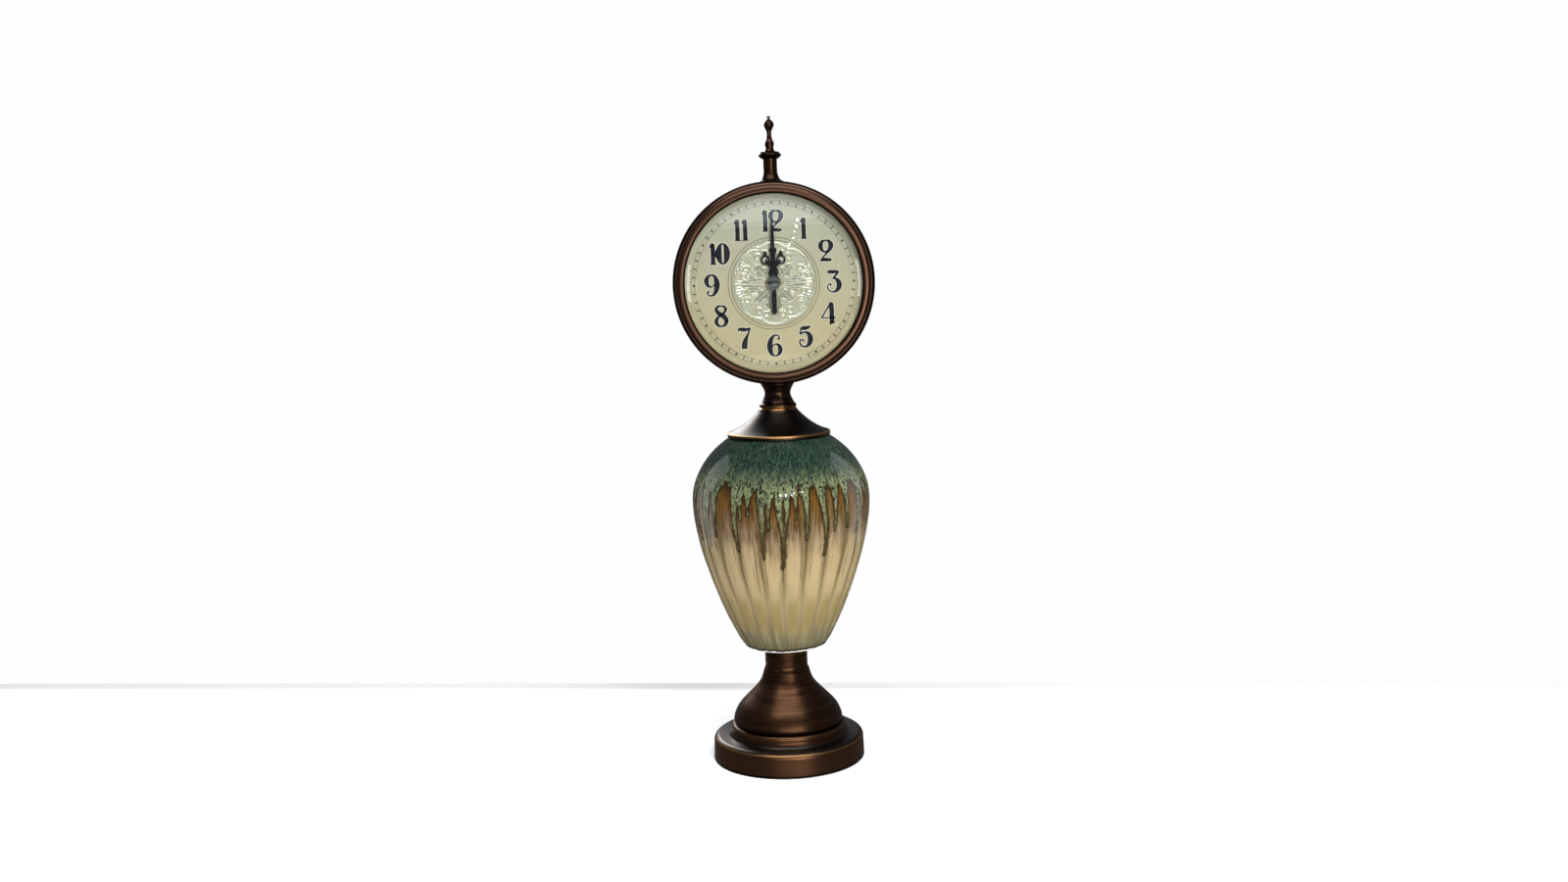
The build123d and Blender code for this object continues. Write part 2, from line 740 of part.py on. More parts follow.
def movement_cover():
    """The rear shell over the gear train, with the rear pivots and the knob's hole."""
    inner = MOVE_SIZE - 2 * MOVE_WALL
    half = MOVE_SIZE / 2
    low = BAY_TOP - MOVE_WALL
    with BuildPart() as piece:
        with BuildSketch(facing(MOVE_BACK)):
            with Locations((0, (low + half) / 2)):
                RectangleRounded(MOVE_SIZE, half - low, 3)
        extrude(amount=MOVE_BACK - MOVE_JOIN)
        with BuildSketch(facing(MOVE_JOIN + 2.0)):
            with Locations((0, (BAY_TOP + half - MOVE_WALL) / 2)):
                Rectangle(inner, half - MOVE_WALL - BAY_TOP)
        extrude(amount=2.0, mode=Mode.SUBTRACT)
        with BuildSketch(facing(MOVE_JOIN + 2.8)):
            with Locations((0, 0), THIRD_AT, FIFTH_AT, ROTOR_AT):
                Circle(ARBOR_R + RUN_GAP)
        extrude(amount=2.8, mode=Mode.SUBTRACT)
        with BuildSketch(facing(MOVE_BACK)):
            with Locations(MOTION_AT):
                Circle(KNOB_SHAFT_R + RUN_GAP)
        extrude(amount=4, mode=Mode.SUBTRACT)
    save(piece, "movement_cover")


def train_bridge():
    """The bridge that carries the fifth wheel's front pivot, on a post from the front shell."""
    front = THIRD_LAYER - 0.3
    back = SECOND_LAYER - 0.5
    reach = Vector(*BRIDGE_POST) - Vector(*FIFTH_AT)
    middle = Vector(*FIFTH_AT) + reach / 2
    with BuildPart() as piece:
        with BuildSketch(facing(back)):
            with Locations(middle):
                SlotCenterToCenter(reach.length, 4.0, rotation=degrees(atan2(reach.Y, reach.X)))
        extrude(amount=back - front)
        with BuildSketch(facing(front)):
            with Locations(BRIDGE_POST):
                Circle(2.0)
        extrude(amount=front - MOVE_FRONT - MOVE_WALL)
        with BuildSketch(facing(back)):
            with Locations(FIFTH_AT):
                Circle(ARBOR_R + RUN_GAP)
        extrude(amount=back - front, mode=Mode.SUBTRACT)
    save(piece, "train_bridge")


def movement_fixing():
    save(ring_head(BUSH_R + 0.1, 8, FRONT_LIP, MOVE_FRONT), "movement_washer")
    nut = hex_nut(facing(FRONT_LIP - DIAL_THICK), 10.4, BUSH_R, 1.0)
    save(nut, "centre_nut")


def gear_sketch(teeth, module, toward):
    """A spur wheel with trapezoid teeth, one of them centred on the direction toward."""
    pitch_r = module * teeth / 2
    root_r = pitch_r - 1.15 * module
    height = 1.15 * module + 0.75 * module
    pitch = pi * module
    root_width = 0.62 * pitch
    lean = 90 - 17
    Circle(root_r)
    with PolarLocations(root_r - 0.1 * module, teeth, start_angle=toward):
        Trapezoid(root_width, height, lean, rotation=-90, align=(Align.CENTER, Align.MIN))


def wheel_at(at, layer, thick, teeth, module, toward):
    """Adds one toothed wheel to the part being built."""
    with BuildSketch(facing(layer + thick, *at)) as face:
        gear_sketch(teeth, module, toward)
    extrude(face.sketch, amount=thick)


def gap_toward(teeth, angle):
    """The phase that puts a gap, not a tooth, on a direction."""
    return angle + 180 / teeth


def rod_at(at, front, back, radius):
    """Adds one plain shaft to the part being built."""
    with BuildSketch(facing(back, *at)) as face:
        Circle(radius)
    extrude(face.sketch, amount=back - front)


def seconds_wheel():
    """The second hand's arbor, with its wheel and the pinion that drives the third wheel."""
    centre = (0.0, 0.0)
    with BuildPart() as piece:
        rod_at(centre, SECOND_HAND_Y - 0.6, REAR_PIVOT, ARBOR_R)
        wheel_at(centre, THIRD_LAYER, THIN, PINION_TEETH, THIRD_MODULE, THIRD_ANGLE)
        rod_at(centre, THIRD_LAYER + THIN, SECOND_LAYER, 0.9)
        wheel_at(centre, SECOND_LAYER, THIN, SECOND_TEETH, STEP_MODULE, FIFTH_ANGLE)
    save(piece, "seconds_wheel")


def centre_wheel():
    """The minute tube, with its wheel and the cannon pinion."""
    centre = (0.0, 0.0)
    with BuildPart() as piece:
        rod_at(centre, MINUTE_HAND_Y - 0.2, CENTRE_LAYER + THIN, MINUTE_TUBE_R)
        wheel_at(centre, MOTION_LAYER, THICK, CANNON_TEETH, MOTION_MODULE, MOTION_ANGLE)
        rod_at(centre, MOTION_LAYER + THICK, CENTRE_LAYER, 2.2)
        wheel_at(centre, CENTRE_LAYER, THIN, CENTRE_TEETH, CENTRE_MODULE, THIRD_ANGLE)
        with BuildSketch(facing(CENTRE_LAYER + THIN)):
            Circle(ARBOR_R + RUN_GAP)
        extrude(amount=CENTRE_LAYER + THIN - MINUTE_HAND_Y + 1, mode=Mode.SUBTRACT)
    save(piece, "centre_wheel")


def hour_wheel():
    """The hour tube and its wheel."""
    centre = (0.0, 0.0)
    with BuildPart() as piece:
        rod_at(centre, HOUR_HAND_Y - 0.2, HOUR_LAYER + THICK, HOUR_TUBE_R)
        wheel_at(centre, HOUR_LAYER, THICK, HOUR_TEETH, HOUR_MODULE, MOTION_ANGLE)
        with BuildSketch(facing(HOUR_LAYER + THICK)):
            Circle(MINUTE_TUBE_R + RUN_GAP)
        extrude(amount=HOUR_LAYER + THICK - HOUR_HAND_Y + 1, mode=Mode.SUBTRACT)
    save(piece, "hour_wheel")


def third_wheel():
    back = THIRD_ANGLE + 180
    with BuildPart() as piece:
        rod_at(THIRD_AT, MOVE_FRONT + 0.6, REAR_PIVOT, ARBOR_R)
        centre_gap = gap_toward(PINION_TEETH, back)
        wheel_at(THIRD_AT, CENTRE_LAYER, THIN, PINION_TEETH, CENTRE_MODULE, centre_gap)
        rod_at(THIRD_AT, CENTRE_LAYER + THIN, THIRD_LAYER, 0.9)
        wheel_at(THIRD_AT, THIRD_LAYER, THIN, THIRD_TEETH, THIRD_MODULE, gap_toward(THIRD_TEETH, back))
    save(piece, "third_wheel")


def motion_wheel():
    """The minute wheel of the motion work, with its pinion and the knob's shaft."""
    back = MOTION_ANGLE + 180
    with BuildPart() as piece:
        rod_at(MOTION_AT, MOVE_FRONT + 0.6, MOTION_LAYER, ARBOR_R)
        pinion_gap = gap_toward(MOTION_PINION_TEETH, back)
        wheel_at(MOTION_AT, HOUR_LAYER, THICK, MOTION_PINION_TEETH, HOUR_MODULE, pinion_gap)
        rod_at(MOTION_AT, HOUR_LAYER + THICK, MOTION_LAYER, KNOB_SHAFT_R)
        wheel_gap = gap_toward(MOTION_TEETH, back)
        wheel_at(MOTION_AT, MOTION_LAYER, THICK, MOTION_TEETH, MOTION_MODULE, wheel_gap)
        rod_at(MOTION_AT, MOTION_LAYER + THICK, KNOB_SHAFT_END, KNOB_SHAFT_R)
    save(piece, "motion_wheel")


def set_knob():
    """The ribbed knob that sets the hands, on the back of the movement."""
    with BuildPart() as piece:
        with BuildSketch(facing(KNOB_END, *MOTION_AT)):
            Circle(KNOB_R)
            with PolarLocations(KNOB_R, KNOB_RIBS):
                Circle(0.4)
        extrude(amount=KNOB_THICK)
        with BuildSketch(facing(KNOB_SHAFT_END, *MOTION_AT)):
            Circle(KNOB_SHAFT_R)
        extrude(amount=KNOB_THICK - (KNOB_END - KNOB_SHAFT_END), mode=Mode.SUBTRACT)
        with BuildSketch(facing(KNOB_END, *MOTION_AT)):
            Circle(0.72 * KNOB_R)
        extrude(amount=0.5, mode=Mode.SUBTRACT)
    save(piece, "set_knob")


def fifth_wheel():
    back = FIFTH_ANGLE + 180
    with BuildPart() as piece:
        rod_at(FIFTH_AT, THIRD_LAYER, REAR_PIVOT, ARBOR_R)
        wheel_at(FIFTH_AT, SECOND_LAYER, THIN, PINION_TEETH, STEP_MODULE, gap_toward(PINION_TEETH, back))
        rod_at(FIFTH_AT, SECOND_LAYER + THIN, FIFTH_LAYER, 0.8)
        wheel_at(FIFTH_AT, FIFTH_LAYER, THIN, FIFTH_TEETH, STEP_MODULE, FIFTH_ANGLE)
    save(piece, "fifth_wheel")


def magnet_rotor():
    back = FIFTH_ANGLE + 180
    with BuildPart() as piece:
        rod_at(ROTOR_AT, MOVE_FRONT + 0.6, REAR_PIVOT, ARBOR_R)
        wheel_at(ROTOR_AT, FIFTH_LAYER, THIN, PINION_TEETH, STEP_MODULE, gap_toward(PINION_TEETH, back))
        rod_at(ROTOR_AT, FIFTH_LAYER + THIN, -3.4, 0.8)
        rod_at(ROTOR_AT, -3.4, -0.9, ROTOR_R)
    save(piece, "magnet_rotor")


def drive_coil():
    """The stepping motor's coil on its core, the stator plate, the board and the crystal."""
    coil_z = 21.4
    coil_y = -6.6
    coil_r = 3.8
    coil_half = 11.0
    legs = (-13, 13)
    leg_width = 4
    middle = ROTOR_AT[0]
    with BuildPart() as coil:
        with BuildSketch(Plane.YZ.offset(middle - coil_half)):
            with Locations((coil_y, HEAD_Z + coil_z)):
                Circle(coil_r)
                Rectangle(2.0, 2.0, mode=Mode.SUBTRACT)
        extrude(amount=2 * coil_half)
    save(coil, "drive_coil")
    with BuildPart() as stator:
        with BuildSketch(facing(-1.6, middle)):
            with Locations((0, ROTOR_AT[1])):
                RectangleRounded(30, 9.6, 2)
                Circle(ROTOR_R + 0.5, mode=Mode.SUBTRACT)
            with Locations(*[(x, 17.8) for x in legs]):
                Rectangle(leg_width, 9)
        extrude(amount=1.2)
        with BuildSketch(facing(-2.8, middle)):
            with Locations(*[(x, coil_z) for x in legs]):
                Rectangle(leg_width, 1.8)
        extrude(amount=4.7)
        with BuildSketch(Plane.YZ.offset(middle - 15)):
            with Locations((coil_y, HEAD_Z + coil_z)):
                Rectangle(1.8, 1.8)
        extrude(amount=30)
    save(stator, "stator_core")
    board_at = (-17.5, 20.4)
    with BuildPart() as board:
        with BuildSketch(facing(-9.4, *board_at)):
            Rectangle(15, 11)
        extrude(amount=1.0)
        with BuildSketch(facing(-8.6, board_at[0] - 2.5, board_at[1] - 1)):
            Circle(2.6)
        extrude(amount=0.8)
    save(board, "circuit_board")
    with BuildPart() as crystal:
        with BuildSketch(Plane.YZ.offset(board_at[0] - 2)):
            with Locations((-8.2, HEAD_Z + board_at[1] + 3.6)):
                Circle(1.1)
        extrude(amount=6)
    save(crystal, "quartz_crystal")


def battery():
    """A round cell lying across the bay, and the two springy contacts that hold it."""
    start = -BATTERY_LENGTH / 2 - 0.2
    half = MOVE_SIZE / 2 - MOVE_WALL
    with BuildPart() as cell:
        with BuildSketch(Plane.YZ.offset(start)):
            with Locations((BATTERY_Y, HEAD_Z + BATTERY_Z)):
                Circle(BATTERY_R)
        extrude(amount=BATTERY_LENGTH)
        with BuildSketch(Plane.YZ.offset(start + BATTERY_LENGTH)):
            with Locations((BATTERY_Y, HEAD_Z + BATTERY_Z)):
                Circle(2.7)
        extrude(amount=1.3)
    save(cell, "battery")
    with BuildPart() as contacts:
        leaf = 0.4
        with Locations(*[(x, BATTERY_Y, HEAD_Z + BATTERY_Z) for x in (leaf / 2 - half, half - leaf / 2)]):
            Box(leaf, 10, 10)
        spring_start = leaf - half
        with BuildSketch(Plane.YZ.offset(spring_start)):
            with Locations((BATTERY_Y, HEAD_Z + BATTERY_Z)):
                Circle(3.4)
                Circle(2.8, mode=Mode.SUBTRACT)
        extrude(amount=start - spring_start)
    save(contacts, "battery_contacts")


def main():
    os.makedirs("parts", exist_ok=True)
    base_pad()
    base_plate()
    base_shell()
    base_weight()
    base_collar()
    ceramic_body()
    vase_cap()
    neck_collar()
    tie_tube()
    neck_fixing()
    case_drum()
    front_bezel()
    lens()
    dial()
    rear_cover()
    finial_stem()
    finial_spire()
    finial_fixing()
    hour_hand()
    minute_hand()
    second_hand()
    movement_case()
    movement_cover()
    train_bridge()
    movement_fixing()
    seconds_wheel()
    centre_wheel()
    hour_wheel()
    third_wheel()
    motion_wheel()
    set_knob()
    fifth_wheel()
    magnet_rotor()
    drive_coil()
    battery()


main()
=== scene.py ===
"""Looks for the table clock: glazed urn, bronze metalwork, printed dial, works and a studio."""
import math
import random

import bpy
from mathutils import Matrix, Vector, noise
from mathutils.bvhtree import BVHTree


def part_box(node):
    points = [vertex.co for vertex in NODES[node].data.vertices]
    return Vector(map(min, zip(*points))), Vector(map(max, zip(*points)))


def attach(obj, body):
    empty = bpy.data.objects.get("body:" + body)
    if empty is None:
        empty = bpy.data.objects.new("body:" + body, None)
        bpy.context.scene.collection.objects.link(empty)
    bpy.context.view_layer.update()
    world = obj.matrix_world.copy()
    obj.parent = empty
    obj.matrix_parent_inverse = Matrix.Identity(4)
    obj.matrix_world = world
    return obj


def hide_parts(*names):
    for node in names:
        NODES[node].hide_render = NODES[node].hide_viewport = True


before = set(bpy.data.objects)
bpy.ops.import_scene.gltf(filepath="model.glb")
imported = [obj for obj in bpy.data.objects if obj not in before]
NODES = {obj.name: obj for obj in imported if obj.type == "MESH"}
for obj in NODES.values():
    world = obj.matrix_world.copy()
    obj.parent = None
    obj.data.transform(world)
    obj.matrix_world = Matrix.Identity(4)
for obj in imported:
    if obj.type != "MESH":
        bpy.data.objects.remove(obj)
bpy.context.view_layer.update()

MM = 0.001
TURN = 2 * math.pi
SLOT_OF = {name: node.material_slots[0].material.name for name, node in NODES.items()}


def middle(node):
    """The centre of a CAD node's box."""
    low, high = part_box(node)
    return (low + high) / 2


HEAD = middle("dial_plate")
DIAL_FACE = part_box("dial_plate")[0].y
URN_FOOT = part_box("ceramic_body")[0].z
URN_HEIGHT = (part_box("ceramic_body")[1].z - URN_FOOT) / MM
NECK_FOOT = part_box("neck_collar")[0].z
CAP_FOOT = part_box("vase_cap")[0].z
# heights on the urn, in mm, are given for an urn this tall
DRAWN_HEIGHT = 161.0


# ---- shader building

# the Mix node's sockets for two colours and for two numbers, which share their names
MIX_COLOUR_A, MIX_COLOUR_B, MIX_COLOUR_RESULT = 6, 7, 2
MIX_NUMBER_A, MIX_NUMBER_B, MIX_NUMBER_RESULT = 2, 3, 0


class Shader:
    """One material's node tree, built from small calls. Lengths in it are millimetres."""

    def __init__(self, name):
        self.material = bpy.data.materials.new(name)
        self.material.use_nodes = True
        self.tree = self.material.node_tree
        self.principled = self.tree.nodes["Principled BSDF"]

    def node(self, kind, **settings):
        made = self.tree.nodes.new(kind)
        for key, value in settings.items():
            setattr(made, key, value)
        return made

    def plug(self, value, socket):
        """Joins an output to a socket, or writes a plain value into the socket."""
        if isinstance(value, bpy.types.NodeSocket):
            self.tree.links.new(value, socket)
        elif isinstance(value, tuple) and socket.type == "RGBA":
            socket.default_value = (*value, 1.0)
        else:
            socket.default_value = value

    def set(self, **values):
        """Sets the main shader's sockets: base_color is its Base Color, and so on."""
        names = {socket.name.lower().replace(" ", "_"): socket for socket in self.principled.inputs}
        for key, value in values.items():
            self.plug(value, names[key])

    def math(self, operation, a, b=0.0):
        made = self.node("ShaderNodeMath", operation=operation)
        self.plug(a, made.inputs[0])
        self.plug(b, made.inputs[1])
        return made.outputs[0]

    def times(self, a, b):
        return self.math("MULTIPLY", a, b)

    def plus(self, a, b):
        return self.math("ADD", a, b)

    def minus(self, a, b):
        return self.math("SUBTRACT", a, b)

    def vector(self, x, y, z):
        made = self.node("ShaderNodeCombineXYZ")
        for value, socket in zip((x, y, z), made.inputs):
            self.plug(value, socket)
        return made.outputs[0]

    def place(self, origin=(0, 0, 0)):
        """The point on the piece, in millimetres from an origin in metres, as three outputs."""
        coordinates = self.node("ShaderNodeTexCoord").outputs["Object"]
        shift = self.node("ShaderNodeVectorMath", operation="SUBTRACT")
        self.plug(coordinates, shift.inputs[0])
        shift.inputs[1].default_value = origin
        scale = self.node("ShaderNodeVectorMath", operation="SCALE")
        self.plug(shift.outputs[0], scale.inputs[0])
        scale.inputs["Scale"].default_value = 1 / MM
        split = self.node("ShaderNodeSeparateXYZ")
        self.plug(scale.outputs[0], split.inputs[0])
        return split.outputs[0], split.outputs[1], split.outputs[2]

    def round_axis(self, origin, axis):
        """Radius, height along the axis, and the cosine and sine of the angle round it."""
        x, y, z = self.place(origin)
        u, v, height = (x, y, z) if axis == "Z" else (x, z, y)
        square = self.plus(self.times(u, u), self.times(v, v))
        radius = self.math("MAXIMUM", self.math("SQRT", square), 0.01)
        return radius, height, self.math("DIVIDE", u, radius), self.math("DIVIDE", v, radius)

    def noise(self, where, scale=1.0, detail=2.0, roughness=0.5, w=None):
        """Soft noise of 0 to 1, in four dimensions where w is given."""
        made = self.node("ShaderNodeTexNoise", noise_dimensions="4D" if w is not None else "3D")
        self.plug(where, made.inputs["Vector"])
        made.inputs["Scale"].default_value = scale
        made.inputs["Detail"].default_value = detail
        made.inputs["Roughness"].default_value = roughness
        if w is not None:
            self.plug(w, made.inputs["W"])
        return made.outputs["Fac"]

    def step(self, value, low, high):
        """0 below low, 1 above high, smooth between; high may be the smaller one."""
        made = self.node("ShaderNodeMapRange", interpolation_type="SMOOTHSTEP")
        self.plug(value, made.inputs["Value"])
        bottom, top = min(low, high), max(low, high)
        made.inputs["From Min"].default_value = bottom
        made.inputs["From Max"].default_value = top
        made.inputs["To Min"].default_value = 0.0 if low < high else 1.0
        made.inputs["To Max"].default_value = 1.0 if low < high else 0.0
        return made.outputs[0]

    def band(self, value, low, high, soft):
        """1 between low and high, fading to 0 over soft on each side."""
        rise = self.step(value, low - soft, low)
        fall = self.step(value, high + soft, high)
        return self.times(rise, fall)

    def mix(self, factor, a, b):
        """Colour a where the factor is 0 and b where it is 1."""
        made = self.node("ShaderNodeMix", data_type="RGBA")
        self.plug(factor, made.inputs["Factor"])
        self.plug(a, made.inputs[MIX_COLOUR_A])
        self.plug(b, made.inputs[MIX_COLOUR_B])
        return made.outputs[MIX_COLOUR_RESULT]

    def tint(self, colour, mask, amount, other):
        """The colour with an amount of another over it where the mask is 1."""
        return self.mix(self.times(mask, amount), colour, other)

    def ramp(self, factor, stops):
        """A colour from (position, colour) stops."""
        made = self.node("ShaderNodeValToRGB")
        self.plug(factor, made.inputs[0])
        elements = made.color_ramp.elements
        while len(elements) < len(stops):
            elements.new(0.5)
        for element, (position, colour) in zip(elements, stops):
            element.position = position
            element.color = (*colour, 1.0)
        return made.outputs[0]

    def attribute(self, name):
        """A number stored at each point of the mesh."""
        return self.node("ShaderNodeAttribute", attribute_name=name).outputs["Fac"]

    def bump(self, height, depth):
        """A normal from a height of 0 to 1 that stands depth millimetres proud."""
        made = self.node("ShaderNodeBump")
        self.plug(height, made.inputs["Height"])
        made.inputs["Distance"].default_value = depth * MM
        made.inputs["Strength"].default_value = 1.0
        return made.outputs[0]


# ---- materials


def turned_bronze(name, origin, axis, dark, warm, gloss, tones=None):
    """Antique bronze with fine lathe lines round an axis.

    tones(mat, colour, radius, height) adds bands, with the radius and height in mm.
    """
    mat = Shader(name)
    radius, height, cosine, sine = mat.round_axis(origin, axis)

    def drawn_out(turn, across, detail, roughness):
        """Noise drawn out into rings: turn is its rate round the axis, across its rate per mm."""
        where = mat.vector(
            mat.times(cosine, turn), mat.times(radius, across), mat.times(height, across)
        )
        return mat.noise(where, 1.0, detail, roughness, w=mat.times(sine, turn))

    lines = drawn_out(1.1, 2.4, 4.0, 0.6)
    patches = drawn_out(0.7, 0.55, 3.0, 0.55)
    blend = mat.plus(mat.times(lines, 0.68), mat.times(patches, 0.32))
    colour = mat.mix(mat.step(blend, 0.28, 0.72), dark, warm)
    if tones:
        colour = tones(mat, colour, radius, height)
    mat.set(
        base_color=colour,
        metallic=1.0,
        roughness=mat.plus(mat.times(lines, 0.22), gloss - 0.08),
        normal=mat.bump(lines, 0.03),
        anisotropic=0.35,
        anisotropic_rotation=0.25,
    )
    return mat.material


def base_tones(mat, colour, radius, height):
    """The base's plinth with a painted reflection, grey-black ledge, rubbed lip, gold shoulder line
    (rubbed, and a painted highlight), painted shade in the groove, and a dark foot.
    """
    outer = mat.step(radius, 51.5, 53.5)
    # painted reflection: the plinth's side is lighter and warmer, for the white table that it
    # mirrors
    plinth = mat.times(mat.step(height, 16.0, 15.0), outer)
    colour = mat.tint(colour, plinth, 0.5, (0.33, 0.16, 0.085))
    ledge = mat.times(mat.step(radius, 43.4, 44.6), mat.step(height, 15.8, 16.8))
    colour = mat.tint(colour, ledge, 0.85, (0.062, 0.058, 0.054))
    lip = mat.times(mat.band(height, 23.4, 26.0, 0.6), mat.step(radius, 41.2, 41.9))
    colour = mat.tint(colour, lip, 0.6, (0.34, 0.17, 0.08))
    # rubbed gold on the shoulder's round, which also stands in as a painted highlight there
    gold = mat.times(mat.band(height, 16.3, 17.1, 0.45), outer)
    colour = mat.tint(colour, gold, 0.85, (0.66, 0.34, 0.13))
    # painted shade in the groove; the foot is darkened as well
    groove = mat.band(height, 26.8, 28.2, 0.7)
    foot = mat.step(height, 2.6, 1.4)
    shade = mat.math("MAXIMUM", mat.times(groove, 0.75), foot)
    return mat.mix(shade, colour, (0.012, 0.009, 0.008))


def cap_tones(mat, colour, radius, height):
    """A rubbed golden line on the upper edge of the cap's rim, which is also a painted highlight.
    """
    rim = mat.band(height, 2.1, 3.3, 0.5)
    outer = mat.step(radius, 36.2, 37.6)
    # the gold is rubbed metal and also a painted highlight along the rim's edge
    gold = mat.times(rim, outer)
    return mat.tint(colour, gold, 0.9, (0.7, 0.38, 0.15))


def neck_tones(mat, colour, radius, height):
    """A gilt bead at the foot of the neck, its gold also a painted highlight."""
    bead = mat.band(height, 0.5, 2.6, 0.4)
    outer = mat.step(radius, 12.6, 13.4)
    # the bead's gold is gilt and also a painted highlight
    gold = mat.times(bead, outer)
    return mat.tint(colour, gold, 0.85, (0.62, 0.33, 0.12))


def bezel_tones(mat, colour, radius, height):
    """Painted shade: near black at the outer edge, a dark line at the step, and dark again round
    the glass.
    """
    edge = mat.step(radius, 70.6, 72.0)
    line = mat.band(radius, 69.6, 70.0, 0.35)
    inner = mat.step(radius, 66.2, 65.0)
    # painted shade at the outer edge, in the step and round the glass
    shade = mat.math("MAXIMUM", mat.math("MAXIMUM", edge, mat.times(line, 0.7)), inner)
    return mat.tint(colour, shade, 0.88, (0.016, 0.01, 0.008))


def glaze():
    """Drip glaze: mottled teal, a sage network, amber pockets, and beige panels with dark flutes.

    The mesh gives it the depth inside the runs in mm, the depth in the flutes and the brown
    trails below the runs, the last two from 0 to 1.
    """
    mat = Shader("drip_glaze")
    radius, height, cosine, sine = mat.round_axis((0, 0, URN_FOOT), "Z")
    drip = mat.attribute("drip")
    flute = mat.attribute("flute")
    trail = mat.attribute("trail")

    def around(pitch, stretch, detail=2.0, roughness=0.5):
        """Noise with spots pitch millimetres wide, stretch times as tall."""
        turn = 58.0 / pitch
        where = mat.vector(
            mat.times(cosine, turn),
            mat.times(sine, turn),
            mat.times(height, 1 / (pitch * stretch)),
        )
        return mat.noise(where, 1.0, detail, roughness)

    def centred(value, amount):
        return mat.times(mat.minus(value, 0.5), amount)

    def veins(value, half):
        """1 on thin lines where the noise crosses its middle."""
        return mat.step(mat.math("ABSOLUTE", mat.minus(value, 0.5)), half, half * 0.35)

    streak = around(2.6, 11.0, 3.0, 0.6)
    soft = around(9.0, 2.5)
    wander = mat.plus(height, mat.plus(centred(streak, 46.0), centred(soft, 26.0)))
    body = mat.ramp(
        mat.math("DIVIDE", wander, DRAWN_HEIGHT),
        [
            (0.00, (0.085, 0.08, 0.046)),
            (0.07, (0.135, 0.122, 0.068)),
            (0.17, (0.245, 0.198, 0.1)),
            (0.27, (0.302, 0.238, 0.124)),
            (0.37, (0.355, 0.274, 0.148)),
            (0.49, (0.318, 0.244, 0.13)),
            (0.56, (0.205, 0.15, 0.086)),
            (0.63, (0.125, 0.08, 0.038)),
            (0.68, (0.12, 0.06, 0.014)),
            (0.74, (0.105, 0.045, 0.006)),
            (0.8, (0.045, 0.022, 0.005)),
            (0.85, (0.03, 0.021, 0.007)),
        ],
    )
    # yellow-brown clouds low on the panels
    cloud_height = mat.band(height, 24.0, 38.0, 11.0)
    panel = mat.step(flute, 0.5, 0.12)
    cloud = mat.times(mat.times(cloud_height, panel), 0.62)
    body = mat.mix(cloud, body, (0.2, 0.142, 0.048))
    # glaze pools brown in the flutes, and trails below the runs
    fading = mat.plus(mat.times(mat.step(height, 34.0, 84.0), 0.55), 0.45)
    pooled = mat.times(mat.step(flute, 0.05, 0.9), fading)
    body = mat.tint(body, pooled, 0.85, (0.12, 0.085, 0.034))
    crease = mat.times(mat.step(flute, 0.62, 0.92), mat.band(height, 62.0, 100.0, 26.0))
    body = mat.tint(body, crease, 0.5, (0.06, 0.042, 0.016))
    thread = mat.step(around(1.5, 26.0), 0.56, 0.68)
    thread = mat.times(thread, mat.band(height, 62.0, 118.0, 22.0))
    body = mat.tint(body, thread, 0.62, (0.095, 0.06, 0.022))
    burnt = mat.step(around(1.1, 12.0), 0.46, 0.66)
    burnt = mat.times(burnt, mat.band(height, 94.0, 124.0, 8.0))
    body = mat.tint(body, burnt, 0.7, (0.03, 0.015, 0.004))
    body = mat.tint(body, trail, 0.85, (0.04, 0.03, 0.01))

    # the running glaze itself
    ragged = mat.plus(drip, centred(around(1.6, 2.8, 3.0), 3.2))
    speck = around(1.05, 2.8, 2.0, 0.65)
    coarse_net = veins(around(2.9, 1.7), 0.075)
    net = mat.math("MAXIMUM", coarse_net, veins(around(1.5, 2.2), 0.045))
    light_sage = mat.mix(speck, (0.09, 0.105, 0.045), (0.235, 0.262, 0.145))
    network = mat.mix(net, (0.01, 0.022, 0.013), light_sage)
    run = mat.mix(mat.step(speck, 0.34, 0.62), (0.044, 0.044, 0.016), (0.165, 0.178, 0.086))
    low = mat.plus(height, centred(streak, 24.0))
    run = mat.mix(mat.step(low, 84.0, 106.0), (0.062, 0.043, 0.013), run)
    teal = mat.mix(mat.step(speck, 0.46, 0.7), (0.004, 0.017, 0.014), (0.032, 0.066, 0.044))
    fleck = mat.step(around(1.0, 1.8, 1.0), 0.4, 0.3)
    teal = mat.tint(teal, fleck, 0.8, (0.004, 0.011, 0.01))
    tufts = mat.times(veins(around(1.9, 2.6), 0.05), 0.4)
    teal = mat.mix(tufts, teal, (0.07, 0.1, 0.06))
    rising = mat.plus(height, mat.plus(centred(streak, 20.0), centred(soft, 12.0)))
    running = mat.mix(mat.step(rising, 108.0, 116.0), run, network)
    running = mat.mix(mat.step(rising, 125.0, 144.0), running, teal)
    outline = mat.band(ragged, -1.3, -0.2, 0.7)
    colour = mat.tint(body, outline, 0.85, (0.02, 0.012, 0.004))
    colour = mat.mix(mat.step(ragged, -0.4, 0.4), colour, running)

    # a dark line and bare clay at the very foot, along a wavy edge
    sagging = mat.plus(height, centred(around(7.0, 3.0), 2.6))
    colour = mat.mix(mat.step(sagging, 3.6, 2.6), colour, (0.012, 0.01, 0.007))
    bare = mat.step(sagging, 1.7, 1.3)
    colour = mat.mix(bare, colour, (0.62, 0.6, 0.55))
    wave = around(2.5, 3.0)
    mat.set(
        base_color=colour,
        roughness=mat.plus(mat.times(bare, 0.5), 0.09),
        ior=1.5,
        normal=mat.bump(wave, 0.06),
        coat_weight=0.3,
        coat_roughness=0.05,
    )
    return mat.material


